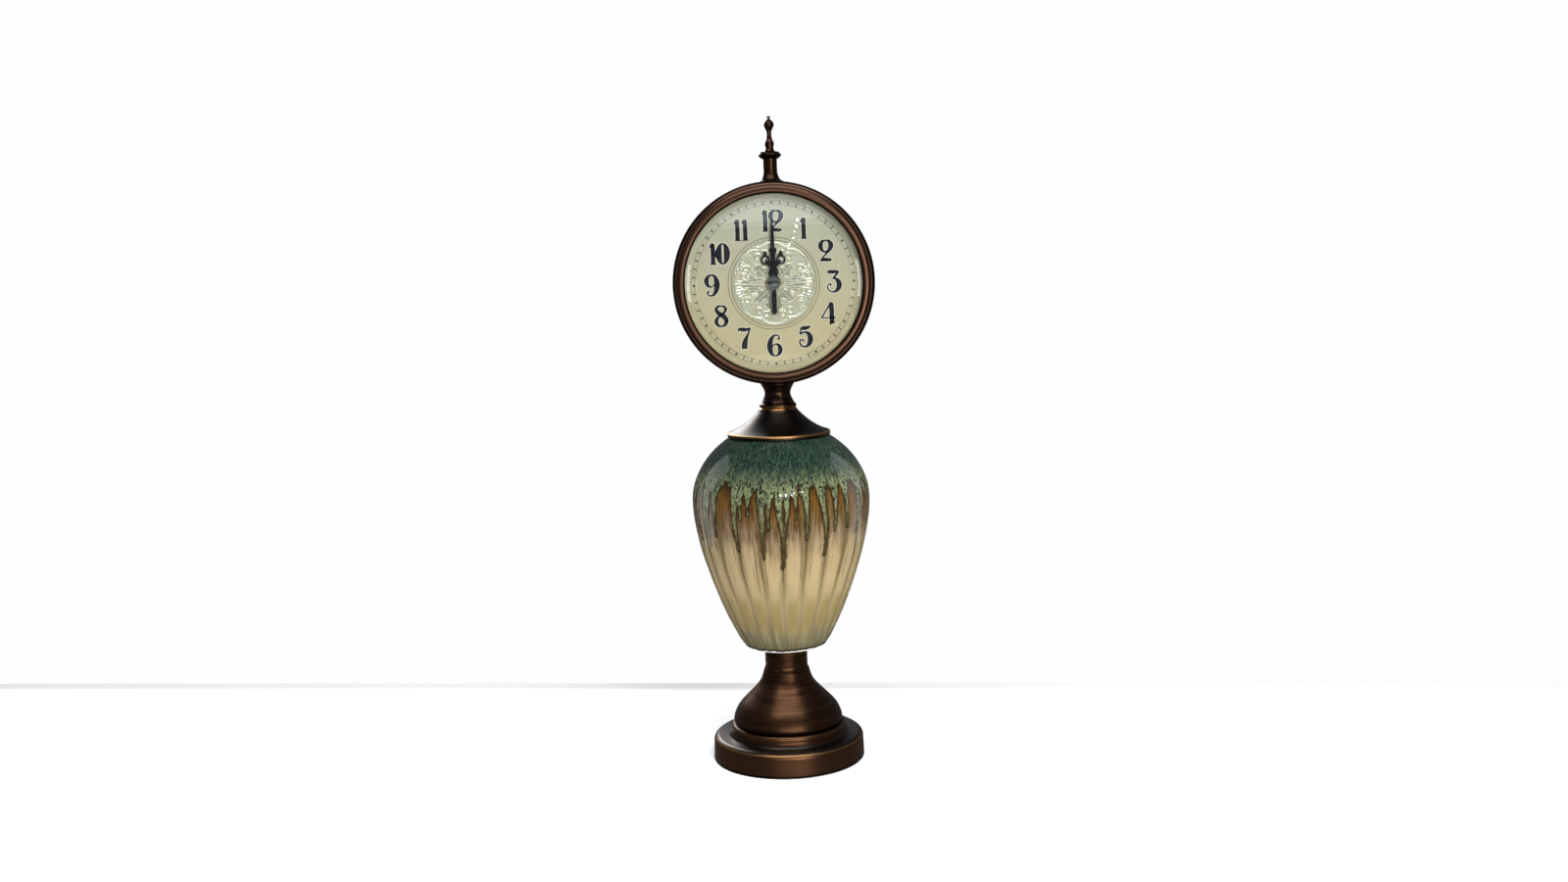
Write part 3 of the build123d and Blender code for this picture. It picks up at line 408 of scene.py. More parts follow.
def plain(name, colour, metal, gloss, grain, depth, spread, stretch=(1, 1, 1), **more):
    """A surface of one stuff, with fine grain in its colour, roughness and relief.

    gloss is the roughness, grain the size of a spot in mm, depth its relief in mm, and spread
    the share by which the colour goes darker and lighter.
    """
    mat = Shader(name)
    x, y, z = mat.place()
    scaled = [mat.times(value, factor / grain) for value, factor in zip((x, y, z), stretch)]
    fine = mat.noise(mat.vector(*scaled), 1.0, 3.0, 0.6)
    broad = mat.noise(mat.vector(x, y, z), 0.09, 2.0)
    blend = mat.plus(mat.times(fine, 0.6), mat.times(broad, 0.4))
    darker = tuple(value * (1 - spread) for value in colour)
    lighter = tuple(min(1.0, value * (1 + spread)) for value in colour)
    mat.set(
        base_color=mat.mix(mat.step(blend, 0.36, 0.64), darker, lighter),
        metallic=metal,
        roughness=mat.plus(mat.times(fine, 0.16), gloss - 0.08),
        normal=mat.bump(fine, depth),
        **more,
    )
    return mat.material


def head_point(mat):
    """The point on the piece in mm from the dial's centre, as one output."""
    return mat.vector(*mat.place(tuple(HEAD)))


def dial_face():
    """Champagne dial with a satin lacquer, a little warmer towards the foot; the cooler top is
    painted shade under the bezel.
    """
    mat = Shader("champagne_dial")
    x, y, z = mat.place(tuple(HEAD))
    where = mat.vector(x, y, z)
    grain = mat.noise(where, 1.6, 3.0, 0.6)
    cloud = mat.noise(where, 0.03)
    # painted shade under the bezel: the dial's colour goes cooler towards the top
    low = mat.step(mat.plus(z, mat.times(cloud, 24.0)), 60.0, -40.0)
    colour = mat.mix(low, (0.44, 0.437, 0.33), (0.49, 0.43, 0.258))
    colour = mat.tint(colour, mat.step(grain, 0.4, 0.7), 0.1, (0.52, 0.5, 0.36))
    mat.set(
        base_color=colour,
        metallic=0.2,
        roughness=mat.plus(mat.times(grain, 0.12), 0.4),
        normal=mat.bump(grain, 0.006),
    )
    return mat.material


def medallion_finish():
    """Champagne ground like the dial's, with pearly lines of relief and painted shade beside each.
    """
    mat = Shader("pearl_silver")
    relief = mat.attribute("relief")
    where = head_point(mat)
    grain = mat.noise(where, 1.4)
    patches = mat.step(mat.noise(where, 0.16), 0.4, 0.65)
    line = mat.step(relief, 0.55, 0.9)
    # painted shade: a dark edge beside each line of relief
    beside = mat.band(relief, 0.14, 0.36, 0.1)
    colour = mat.mix(patches, (0.48, 0.465, 0.33), (0.48, 0.5, 0.385))
    colour = mat.tint(colour, beside, 0.6, (0.11, 0.106, 0.072))
    colour = mat.mix(line, colour, (0.36, 0.368, 0.275))
    mat.set(
        base_color=colour,
        metallic=mat.plus(mat.times(line, 0.2), 0.16),
        roughness=mat.plus(mat.times(grain, 0.16), 0.1),
        normal=mat.bump(grain, 0.03),
        coat_weight=1.0,
        coat_roughness=0.06,
    )
    return mat.material


def lens_glass():
    """Clear glass with a very faint green body and smear."""
    mat = Shader("clear_glass")
    smear = mat.noise(head_point(mat), 0.05, 3.0)
    mat.set(
        base_color=mat.mix(smear, (0.97, 0.99, 0.98), (0.985, 1.0, 0.99)),
        roughness=mat.times(mat.step(smear, 0.5, 0.9), 0.012),
        ior=1.45,
        transmission_weight=1.0,
    )
    return mat.material


def hub_finish():
    """Dark bottle-green enamel, with lighter green glints painted into its colour."""
    mat = Shader("green_enamel")
    cell = mat.noise(head_point(mat), 0.8, 3.0, 0.6)
    # the lightest stop is a painted glint
    dark, middle_green, glint = (0.002, 0.007, 0.006), (0.004, 0.022, 0.016), (0.03, 0.08, 0.044)
    mat.set(
        base_color=mat.ramp(cell, [(0.34, dark), (0.56, middle_green), (0.78, glint)]),
        metallic=0.3,
        roughness=0.16,
        normal=mat.bump(cell, 0.25),
        coat_weight=0.8,
    )
    return mat.material


HEAD_AXIS = (HEAD.x, 0, HEAD.z)
MATERIALS = {
    "bronze_base": turned_bronze(
        "bronze_base_turned", (0, 0, 0), "Z",
        (0.036, 0.019, 0.012), (0.215, 0.106, 0.056), 0.3, base_tones,
    ),
    "bronze_cap": turned_bronze(
        "bronze_cap_spun", (0, 0, CAP_FOOT), "Z",
        (0.022, 0.02, 0.017), (0.066, 0.05, 0.038), 0.34, cap_tones,
    ),
    "bronze_turned": turned_bronze(
        "bronze_neck_turned", (0, 0, NECK_FOOT), "Z",
        (0.024, 0.015, 0.011), (0.13, 0.068, 0.042), 0.24, neck_tones,
    ),
    "bronze_bezel": turned_bronze(
        "bronze_bezel_turned", HEAD_AXIS, "Y",
        (0.105, 0.054, 0.036), (0.22, 0.122, 0.082), 0.3, bezel_tones,
    ),
    "bronze_drum": turned_bronze(
        "bronze_drum_spun", HEAD_AXIS, "Y",
        (0.02, 0.013, 0.01), (0.095, 0.05, 0.032), 0.36,
    ),
    "glaze": glaze(),
    "felt": plain(
        "green_felt", (0.03, 0.06, 0.038), 0.0, 0.93, 0.35, 0.2, 0.35, sheen_weight=0.6
    ),
    "iron": plain("cast_iron", (0.06, 0.058, 0.056), 0.6, 0.62, 0.9, 0.1, 0.3),
    "zinc": plain("zinc_plate", (0.56, 0.57, 0.57), 1.0, 0.34, 1.4, 0.01, 0.14, (1, 1, 3)),
    "rubber": plain("black_rubber", (0.02, 0.02, 0.021), 0.0, 0.72, 0.5, 0.02, 0.25),
    "lens_glass": lens_glass(),
    "dial_print": dial_face(),
    "spacer_metal": plain("spacer_ring", (0.52, 0.56, 0.47), 0.7, 0.2, 2.4, 0.003, 0.1),
    "hand_black": plain(
        "hand_enamel", (0.01, 0.01, 0.013), 0.1, 0.22, 0.5, 0.008, 0.3, coat_weight=0.6
    ),
    "hub_black": hub_finish(),
    "brass_nut": plain("brass", (0.64, 0.45, 0.15), 1.0, 0.24, 0.5, 0.01, 0.16),
    "gear_plastic": plain("white_acetal", (0.74, 0.73, 0.68), 0.0, 0.42, 0.8, 0.01, 0.06),
    "case_plastic": plain("black_moulding", (0.022, 0.022, 0.024), 0.0, 0.46, 0.45, 0.03, 0.22),
    "knob_plastic": plain("grey_moulding", (0.11, 0.108, 0.105), 0.0, 0.42, 0.45, 0.03, 0.18),
    "steel_core": plain(
        "stator_steel", (0.42, 0.42, 0.43), 1.0, 0.38, 0.6, 0.01, 0.18, (1, 6, 1)
    ),
    "copper_wire": plain(
        "enamelled_wire", (0.6, 0.24, 0.09), 1.0, 0.28, 0.35, 0.06, 0.25, (6, 1, 1)
    ),
    "board": plain("circuit_laminate", (0.02, 0.13, 0.05), 0.0, 0.38, 0.9, 0.01, 0.3),
    "crystal_can": plain("crystal_can_steel", (0.62, 0.62, 0.63), 1.0, 0.22, 0.7, 0.01, 0.1),
    "magnet": plain("ferrite", (0.07, 0.068, 0.07), 0.3, 0.55, 0.5, 0.03, 0.25),
    "cell_jacket": plain("cell_wrapper", (0.045, 0.13, 0.085), 0.2, 0.28, 0.7, 0.01, 0.14),
}
# stuffs of the pieces that the CAD doesn't have
INK = plain("dial_ink", (0.003, 0.004, 0.008), 0.0, 0.5, 0.5, 0.01, 0.3)
TRACK_INK = plain("track_ink", (0.006, 0.006, 0.007), 0.0, 0.45, 0.4, 0.005, 0.35)
# near-white outline round each numeral: a pale raised edge, painted as its highlight
EDGE_HIGHLIGHT = plain("raised_silver", (0.9, 0.88, 0.76), 0.1, 0.24, 0.5, 0.01, 0.1)
SILVER_WIRE = plain("silver_wire", (0.38, 0.372, 0.28), 0.6, 0.24, 1.5, 0.004, 0.06)
PEARL = medallion_finish()


# ---- mesh helpers


def smooth(value):
    """0 at or below 0, 1 at or above 1, smooth between."""
    value = min(max(value, 0.0), 1.0)
    return value * value * (3 - 2 * value)


def ridge(distance, half):
    """Height from 0 to 1 of a thin rounded line, at a distance from its middle."""
    return math.exp(-((distance / half) ** 2))


def on_dial(x, z, lift):
    """A point in metres, from a place in mm from the dial's centre and its lift off the dial."""
    return (HEAD.x + x * MM, DIAL_FACE - lift * MM, HEAD.z + z * MM)


def add_piece(name, points, faces, material, body, use_smooth=False):
    """A mesh in metres that rides on a body."""
    mesh = bpy.data.meshes.new(name)
    mesh.from_pydata(points, [], faces)
    mesh.validate()
    mesh.polygons.foreach_set("use_smooth", [use_smooth] * len(mesh.polygons))
    mesh.materials.append(material)
    mesh.update()
    piece = bpy.data.objects.new(name, mesh)
    bpy.context.scene.collection.objects.link(piece)
    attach(piece, body)
    return piece


def row_faces(rows, sides):
    """Faces between closed rows of points, with the last row joined to the first."""
    faces = []
    for row in range(rows):
        low, high = row * sides, (row + 1) % rows * sides
        for side in range(sides):
            after = (side + 1) % sides
            faces.append((low + side, low + after, high + after, high + side))
    return faces


def store(piece, name, values):
    """Keeps a number at each point of a piece, for its material to read."""
    piece.data.attributes.new(name, "FLOAT", "POINT").data.foreach_set("value", values)


def between(a, b, c, d, t):
    """The Catmull-Rom value at t of the way from b to c."""
    slope, bend, twist = c - a, 2 * a - 5 * b + 4 * c - d, 3 * b - a - 3 * c + d
    return 0.5 * (2 * b + slope * t + bend * t * t + twist * t**3)


def curve_points(controls, steps=6):
    """Points on a Catmull-Rom curve through the controls, each a tuple of numbers."""
    padded = [controls[0], *controls, controls[-1]]
    result = []
    for index in range(1, len(padded) - 2):
        span = list(zip(*padded[index - 1 : index + 3]))
        result += [tuple(between(*four, step / steps) for four in span) for step in range(steps)]
    result.append(tuple(controls[-1]))
    return result


class DialPrint:
    """Thin marks on the dial, gathered into one mesh. Places are in mm from the dial's centre."""

    def __init__(self, lift):
        self.lift = lift
        self.points = []
        self.faces = []

    def ribbon(self, path, closed=False):
        """A strip along (x, z, width) stations, with its edges and back closed."""
        first = len(self.points)
        count = len(path)
        for index, (x, z, width) in enumerate(path):
            ahead = path[(index + 1) % count] if closed or index + 1 < count else path[index]
            behind = path[index - 1] if closed or index > 0 else path[index]
            run = Vector((ahead[0] - behind[0], ahead[1] - behind[1]))
            run.normalize()
            for side in (1, -1):
                edge = (x - run.y * side * width / 2, z + run.x * side * width / 2)
                self.points += [on_dial(*edge, self.lift), on_dial(*edge, 0)]
        for span in range(count if closed else count - 1):
            a = first + 4 * span
            b = first + 4 * ((span + 1) % count)
            self.faces += [
                (a, a + 2, b + 2, b),
                (a + 1, b + 1, b + 3, a + 3),
                (a, b, b + 1, a + 1),
                (a + 2, a + 3, b + 3, b + 2),
            ]
        if not closed:
            last = first + 4 * (count - 1)
            self.faces.append((first, first + 1, first + 3, first + 2))
            self.faces.append((last, last + 2, last + 3, last + 1))

    def dot(self, x, z, radius, sides=20):
        """A round spot."""
        first = len(self.points)
        for lift in (self.lift, 0):
            for index in range(sides):
                angle = TURN * index / sides
                rim = (x + radius * math.sin(angle), z + radius * math.cos(angle))
                self.points.append(on_dial(*rim, lift))
        front = range(first, first + sides)
        self.faces.append(tuple(reversed(front)))
        self.faces.append(tuple(range(first + sides, first + 2 * sides)))
        for here, after in zip(front, [*front[1:], first]):
            self.faces.append((here, after, after + sides, here + sides))

    def circle(self, radius, width, sides=180):
        """A printed ring round the dial's centre."""
        turns = [TURN * index / sides for index in range(sides)]
        path = [(radius * math.sin(turn), radius * math.cos(turn), width) for turn in turns]
        self.ribbon(path, closed=True)

    def piece(self, name, material, slot):
        add_piece(name, self.points, self.faces, material, "clock")


# ---- numerals

# A figure is (width, strokes, balls), in units of the numeral's height. A stroke is a list of
# (x, y, width) and a ball is (x, y, radius).
SIX = [
    (0.53, 0.8, 0.04), (0.49, 0.93, 0.045), (0.35, 0.98, 0.05), (0.2, 0.89, 0.09),
    (0.09, 0.66, 0.14), (0.07, 0.38, 0.15), (0.15, 0.12, 0.1), (0.31, 0.02, 0.05),
    (0.48, 0.11, 0.09), (0.55, 0.3, 0.13), (0.49, 0.5, 0.09), (0.36, 0.57, 0.05),
    (0.24, 0.52, 0.035), (0.17, 0.42, 0.03),
]
GLYPHS = {
    "1": (0.31, [
        [
            (0.17, 0.00, 0.25), (0.17, 0.03, 0.17), (0.17, 0.11, 0.125), (0.17, 0.6, 0.12),
            (0.17, 0.98, 0.11),
        ],
        [(0.18, 0.96, 0.08), (0.1, 0.87, 0.07), (0.01, 0.79, 0.03)],
    ], []),
    "2": (0.6, [
        [
            (0.31, 0.975, 0.04), (0.14, 0.9, 0.09), (0.07, 0.72, 0.13), (0.13, 0.53, 0.09),
            (0.25, 0.44, 0.05), (0.38, 0.49, 0.03),
        ],
        [
            (0.31, 0.975, 0.04), (0.47, 0.91, 0.09), (0.545, 0.75, 0.14), (0.49, 0.56, 0.11),
            (0.34, 0.38, 0.06), (0.18, 0.2, 0.04), (0.06, 0.03, 0.04),
        ],
        [
            (0.05, 0.02, 0.04), (0.17, 0.075, 0.09), (0.32, 0.08, 0.1), (0.44, 0.065, 0.09),
            (0.57, 0.09, 0.06),
        ],
    ], []),
    "3": (0.68, [
        [(0.09, 0.88, 0.04), (0.12, 0.945, 0.09), (0.34, 0.95, 0.1), (0.58, 0.965, 0.05)],
        [(0.585, 0.965, 0.05), (0.45, 0.8, 0.06), (0.31, 0.645, 0.05)],
        [
            (0.28, 0.65, 0.03), (0.43, 0.63, 0.07), (0.56, 0.49, 0.13), (0.59, 0.31, 0.14),
            (0.49, 0.11, 0.1), (0.32, 0.025, 0.05), (0.13, 0.08, 0.04), (0.05, 0.22, 0.04),
            (0.09, 0.36, 0.035), (0.19, 0.41, 0.03),
        ],
    ], [(0.2, 0.355, 0.055)]),
    "4": (0.7, [
        [
            (0.5, 0.00, 0.2), (0.5, 0.03, 0.14), (0.5, 0.12, 0.125), (0.495, 0.8, 0.125),
            (0.485, 0.99, 0.07),
        ],
        [(0.47, 0.97, 0.05), (0.25, 0.63, 0.045), (0.03, 0.285, 0.05)],
        [(0.02, 0.27, 0.04), (0.35, 0.27, 0.035), (0.69, 0.27, 0.04)],
    ], []),
    "5": (0.6, [
        [
            (0.09, 0.89, 0.06), (0.14, 0.88, 0.1), (0.3, 0.885, 0.11), (0.46, 0.925, 0.08),
            (0.56, 0.985, 0.02),
        ],
        [(0.1, 0.9, 0.045), (0.075, 0.75, 0.045), (0.055, 0.59, 0.06)],
        [
            (0.05, 0.6, 0.05), (0.16, 0.67, 0.05), (0.3, 0.69, 0.06), (0.45, 0.62, 0.11),
            (0.53, 0.42, 0.15), (0.49, 0.2, 0.13), (0.38, 0.06, 0.08), (0.24, 0.02, 0.05),
            (0.1, 0.08, 0.05), (0.03, 0.22, 0.05), (0.08, 0.35, 0.04), (0.16, 0.37, 0.03),
        ],
    ], [(0.19, 0.31, 0.058)]),
    "6": (0.62, [SIX], [(0.475, 0.8, 0.058)]),
    "7": (0.62, [
        [
            (0.03, 0.8, 0.03), (0.05, 0.92, 0.06), (0.18, 0.915, 0.11), (0.36, 0.895, 0.1),
            (0.5, 0.94, 0.06), (0.6, 0.98, 0.03),
        ],
        [
            (0.585, 0.965, 0.04), (0.47, 0.7, 0.06), (0.36, 0.44, 0.12), (0.3, 0.22, 0.16),
            (0.29, 0.04, 0.15), (0.29, 0.00, 0.2),
        ],
    ], []),
    "8": (0.62, [
        [
            (0.31, 0.98, 0.045), (0.15, 0.94, 0.07), (0.09, 0.79, 0.1), (0.21, 0.64, 0.12),
            (0.41, 0.5, 0.13), (0.54, 0.31, 0.13), (0.47, 0.1, 0.09), (0.31, 0.02, 0.045),
        ],
        [
            (0.31, 0.98, 0.045), (0.47, 0.93, 0.07), (0.52, 0.79, 0.09), (0.4, 0.62, 0.06),
            (0.19, 0.48, 0.07), (0.07, 0.28, 0.11), (0.15, 0.09, 0.08), (0.31, 0.02, 0.045),
        ],
    ], []),
    "0": (0.54, [], []),
}
GLYPHS["9"] = (
    0.62,
    [[(0.62 - x, 1 - y, width) for x, y, width in SIX]],
    [(0.62 - 0.475, 0.2, 0.058)],
)
# centre, half width and half height of the nought's pen line
NOUGHT = (0.27, 0.5, 0.19, 0.46)
NUMERAL_HEIGHT = 15.6
NUMERAL_RADIUS = 44.8
NUMERAL_GAP = 0.045
# how far the pale outline, a painted highlight on the raised edge, stands out round the black, both
# sides together, in mm
OUTLINE = 0.7
# every stroke is this many times its drawn width, and never thinner than the hairline in mm
BOLD = 1.75
HAIRLINE = 0.5
# numerals moved sideways, in mm
NUDGE = {3: -1.6, 2: -0.8, 5: -0.8, 6: -0.6}
# how far each kind of print stands off the dial, in mm
NUMERAL_LIFT, OUTLINE_LIFT, TRACK_LIFT, CIRCLE_LIFT = 0.16, 0.08, 0.05, 0.07


def nought_stations(centre_x, centre_y, half_width, half_height, sides=40):
    """The numeral nought: thin at its ends and thick at its flanks."""
    result = []
    for index in range(sides):
        across, up = math.cos(TURN * index / sides), math.sin(TURN * index / sides)
        width = 0.045 + 0.125 * abs(across) ** 1.6
        result.append((centre_x + half_width * across, centre_y + half_height * up, width))
    return result


def lengthen(path, amount):
    """The same path with both ends moved out by amount."""
    if amount == 0:
        return path
    result = list(path)
    for end, inner in ((0, 1), (-1, -2)):
        away = Vector(result[end][:2]) - Vector(result[inner][:2])
        away.normalize()
        x, z, width = result[end]
        result[end] = (x + away.x * amount, z + away.y * amount, width)
    return result


def print_numeral(target, text, centre_x, centre_z, widen):
    """Draws one hour's figures, each mark wider by widen mm all round."""
    pen = -(sum(GLYPHS[figure][0] for figure in text) + NUMERAL_GAP * (len(text) - 1)) / 2

    def place(x, y, size):
        """A place and size in mm on the dial, from a figure's own units."""
        x, y = centre_x + (pen + x) * NUMERAL_HEIGHT, centre_z + (y - 0.5) * NUMERAL_HEIGHT
        return x, y, size * NUMERAL_HEIGHT

    for figure in text:
        figure_width, strokes, balls = GLYPHS[figure]
        for stroke in strokes:
            path = [place(*station) for station in curve_points(stroke)]
            path = [(x, z, max(width * BOLD, HAIRLINE) + 2 * widen) for x, z, width in path]
            target.ribbon(lengthen(path, widen))
        if figure == "0":
            path = [place(*station) for station in nought_stations(*NOUGHT)]
            target.ribbon([(x, z, width * BOLD + 2 * widen) for x, z, width in path], closed=True)
        for ball in balls:
            x, z, radius = place(*ball)
            target.dot(x, z, radius + widen)
        pen += figure_width + NUMERAL_GAP


def make_numerals():
    """The twelve black numerals, and under them pale outlines painted as the highlight on their
    raised edges.
    """
    black = DialPrint(NUMERAL_LIFT)
    # the pale outlines are painted highlights of the raised edges
    silver = DialPrint(OUTLINE_LIFT)
    for hour in range(1, 13):
        angle = TURN * hour / 12
        x = NUMERAL_RADIUS * math.sin(angle) + NUDGE.get(hour, 0.0)
        z = NUMERAL_RADIUS * math.cos(angle)
        print_numeral(black, str(hour), x, z, 0.0)
        print_numeral(silver, str(hour), x, z, OUTLINE / 2)
    black.piece("dial_numerals", INK, "hand_black")
    silver.piece("dial_numeral_edges", EDGE_HIGHLIGHT, "dial_print")


# ---- minute track

# radii of the two raised lines, and half the width of each, in mm
TRACK_INNER, TRACK_OUTER, WIRE_HALF = 56.4, 59.2, 0.2
# an hour's dot, a minute's tick and the serif at each end of it, in mm
DOT_RADIUS = 0.85
TICK_WIDTH, TICK_MARGIN = 0.72, 0.35
SERIF_WIDTH, SERIF_REACH = 0.5, 0.42


def make_wire(name, radius):
    """A half-round bright line on the dial."""
    sides, arc = 240, 6
    points = []
    for index in range(sides):
        angle = TURN * index / sides
        for step in range(arc + 1):
            turn = math.pi * step / arc
            reach, lift = radius + WIRE_HALF * math.cos(turn), WIRE_HALF * math.sin(turn)
            points.append(on_dial(reach * math.sin(angle), reach * math.cos(angle), lift))
    faces = row_faces(sides, arc + 1)
    return add_piece(name, points, faces, SILVER_WIRE, "clock", use_smooth=True)


def make_minute_track():
    """A fine tick at each minute and a dot at each hour, between two bright raised lines."""
    track = DialPrint(TRACK_LIFT)
    for minute in range(60):
        angle = TURN * minute / 60
        along = Vector((math.sin(angle), math.cos(angle)))
        if minute % 5 == 0:
            spot = along * (TRACK_INNER + TRACK_OUTER) / 2
            track.dot(spot.x, spot.y, DOT_RADIUS, sides=12)
            continue
        ends = [along * (TRACK_INNER + TICK_MARGIN), along * (TRACK_OUTER - TICK_MARGIN)]
        across = Vector((along.y, -along.x)) * SERIF_REACH
        track.ribbon([(end.x, end.y, TICK_WIDTH) for end in ends])
        for end in ends:
            track.ribbon([(tip.x, tip.y, SERIF_WIDTH) for tip in (end - across, end + across)])
    track.piece("dial_minute_track", TRACK_INK, "hand_black")
    inner = make_wire("dial_wire_inner", TRACK_INNER)
    return [inner, make_wire("dial_wire_outer", TRACK_OUTER)]


# ---- medallion

MEDAL_HOLE = 6.6
MEDAL_RADIUS = 30.4
MEDAL_RINGS, MEDAL_SIDES = 88, 504
MEDAL_EDGE = 0.8
# the flat ground's height off the dial, and the height of relief that counts as a full line
GROUND_LIFT, FULL_LINE = 0.06, 0.4
LEAF_COUNT = 8
RAYS = 72
# radii and width of the circles printed round the medallion
CIRCLES, CIRCLE_WIDTH = (33.0, 30.8), 0.34


def ray_height(radius, angle):
    """Height in mm of the fine sunray cuts behind the leaves, deeper in some places."""
    x, y = radius * math.sin(angle), radius * math.cos(angle)
    patch = noise.noise(Vector((x / 5.5, y / 5.5, 5.0)))
    bend = 0.16 * noise.noise(Vector((x / 7.0, y / 7.0, 9.0)))
    cut = abs((RAYS * angle / TURN + bend) % 1.0 - 0.5) * 2
    slope = (0.13 + 0.22 * patch) * (0.15 + 0.85 * abs(math.sin(angle)) ** 2)
    return slope * math.pi * radius / RAYS * cut * smooth((29.5 - radius) / 2.0)


def relief_height(radius, angle):
    """Height in mm of the embossed lines: leaves and scrolls inside a border of pointed arches."""
    sector = TURN / LEAF_COUNT
    leaf = round(angle / sector)
    off = angle - leaf * sector
    broad = leaf % 2 == 0
    reach = 23.5 if broad else 19.0
    side = abs(radius * math.sin(off))
    along = (radius - MEDAL_HOLE) / (reach - MEDAL_HOLE)
    height = 0.0
    if 0 < along < 1:
        width = (6.4 if broad else 3.6) * math.sin(math.pi * along**0.85) ** 0.8
        width *= 1 + 0.3 * math.sin(radius * 1.15 + 0.6)
        height = 0.46 * ridge(side - width, 0.4)
        if side < width:
            rib = abs((side / 1.9 + 0.02 * radius) % 1.0 - 0.5) * 2
            inside = smooth((width - side) / 0.9)
            height = max(height, 0.42 * ridge(side, 0.4), (0.02 + 0.12 * rib) * inside)
    # curling scrolls between the leaves
    gap = (sector / 2 - abs(off)) * radius
    curl = math.hypot(gap - 3.0, radius - 22.4)
    height = max(height, 0.3 * ridge(curl - 2.0, 0.4))
    # a border of pointed arches, with a bead at each cusp
    arch = abs(math.cos(LEAF_COUNT * angle / 2)) ** 0.55
    height = max(height, 0.32 * ridge(radius - 25.6 - 3.4 * arch, 0.3))
    cusp = math.hypot(gap, radius - 27.8)
    return max(height, 0.34 * ridge(cusp, 0.7))


def make_medallion():
    """The embossed centre of the dial, as one closed relief, and the circles printed round it."""
    points, relief = [], []
    # rows from the outer wall's foot, over the relief, to the inner wall's foot
    pitch = (MEDAL_RADIUS - MEDAL_HOLE) / MEDAL_RINGS
    relief_rows = [(MEDAL_HOLE + pitch * ring, 1) for ring in range(MEDAL_RINGS, -1, -1)]
    rows = [(MEDAL_RADIUS, 0), *relief_rows, (MEDAL_HOLE, 0)]
    for radius, raised in rows:
        fade = min(1.0, (MEDAL_RADIUS - radius) / MEDAL_EDGE, (radius - MEDAL_HOLE) / MEDAL_EDGE)
        for index in range(MEDAL_SIDES):
            angle = TURN * index / MEDAL_SIDES
            lines = raised * relief_height(radius, angle)
            rise = max(lines, ray_height(radius, angle)) * max(0.0, fade)
            lift = raised * (GROUND_LIFT + rise)
            points.append(on_dial(radius * math.sin(angle), radius * math.cos(angle), lift))
            relief.append(lines / FULL_LINE)
    # each face starts one corner on, which sets the diagonal that splits it into triangles
    faces = [(b, c, d, a) for a, b, c, d in row_faces(len(rows), MEDAL_SIDES)]
    piece = add_piece("dial_medallion", points, faces, PEARL, "clock", use_smooth=True)
    store(piece, "relief", relief)
    circles = DialPrint(CIRCLE_LIFT)
    for radius in CIRCLES:
        circles.circle(radius, CIRCLE_WIDTH)
    circles.piece("dial_medallion_rings", TRACK_INK, "hand_black")
    return piece


# ---- urn

FLUTES = 24
FLUTE_DEPTH = 0.95
FLUTE_WANDER = 0.03
URN_SIDES = FLUTES * 16
DRIP_RELIEF = 0.28
# where the solid glaze ends and the runs begin, and how far a brown trail goes on below a run
RUN_TOP = 128.0
TRAIL_LENGTH = 26.0
# the largest depth in or out of the runs that is stored, and the reach of one run to each side
DEPTH_LIMIT = 6.0
RUN_REACH = 9
# how far inside its ends the CAD urn is measured, so that the ray meets its wall
INSET = 0.02
# a row of the inner skin for each of these, as shares of the height
INNER_SHARES = (0.95, 0.9, 0.8, 0.7, 0.6, 0.5, 0.4, 0.3, 0.2, 0.12, 0.07)
# the outer skin's rows: from, to and the distance between rows, close where the drips are
ROW_BANDS = ((0.0, 10.0, 0.55), (10.0, 46.0, 2.0), (46.0, 138.0, 0.9), (138.0, DRAWN_HEIGHT, 1.8))


def cad_radius(surface, height, inside):
    """The radius in metres of the CAD urn's inner or outer wall at a height."""
    start = Vector((0.0005, 0, height)) if inside else Vector((0.2, 0, height))
    heading = Vector((1, 0, 0)) if inside else Vector((-1, 0, 0))
    hit = surface.ray_cast(start, heading)[0]
    return math.hypot(hit.x, hit.y)


def make_drips():
    """Each run of glaze: its angle, half width, tip height above the foot, sway and phase."""
    draw = random.Random(11)
    pitch = TURN / FLUTES
    drips = []

    def add(groove, places, halves, tips):
        place, half = groove + pitch * draw.uniform(*places), draw.uniform(*halves)
        tip = draw.triangular(*tips)
        drips.append((place, half, tip, draw.uniform(-1.7, 1.7), draw.uniform(0, TURN)))

    for index in range(FLUTES):
        groove = pitch * index
        add(groove, (-0.2, 0.2), (0.35, 0.8), (64.0, 112.0, 86.0))
        if draw.random() < 0.9:
            add(groove, (0.34, 0.66), (0.3, 0.62), (78.0, 118.0, 100.0))
        if draw.random() < 0.55:
            add(groove, (0.16, 0.28), (0.28, 0.5), (80.0, 116.0, 97.0))
    return drips


def drip_depth(drips, angle, height, radius):
    """Millimetres inside (+) or outside (-) the running glaze, and the darkness of the trails."""
    x, y = math.cos(angle), math.sin(angle)
    ripple = noise.noise(Vector((x * 3.2, y * 3.2, 0.7)))
    ripple += 0.6 * noise.noise(Vector((x * 11, y * 11, 3.1)))
    top = RUN_TOP + 6.0 * ripple
    best = (height - top) * 0.45
    trail = 0.0
    for centre, half, tip, sway, phase in drips:
        if height < tip - TRAIL_LENGTH:
            continue
        drift = sway * math.sin(height / 11.0 + phase) / radius
        off = abs(math.remainder(angle - centre - drift, TURN) * radius)
        if off > RUN_REACH:
            continue
        rise = min(1.0, max(0.0, (height - tip) / (top - tip)))
        half_here = half * (0.4 + 0.6 * smooth((height - tip) / 18.0)) + 3.2 * rise**2.6
        below = tip - height
        gap = math.hypot(off, below) if below > 0 else off
        best = max(best, half_here - gap)
        fade = smooth(1 - below / TRAIL_LENGTH) if below > 0 else 1.0
        trail = max(trail, ridge(off, half * 0.75) * fade)
    return max(-DEPTH_LIMIT, min(DEPTH_LIMIT, best)), trail


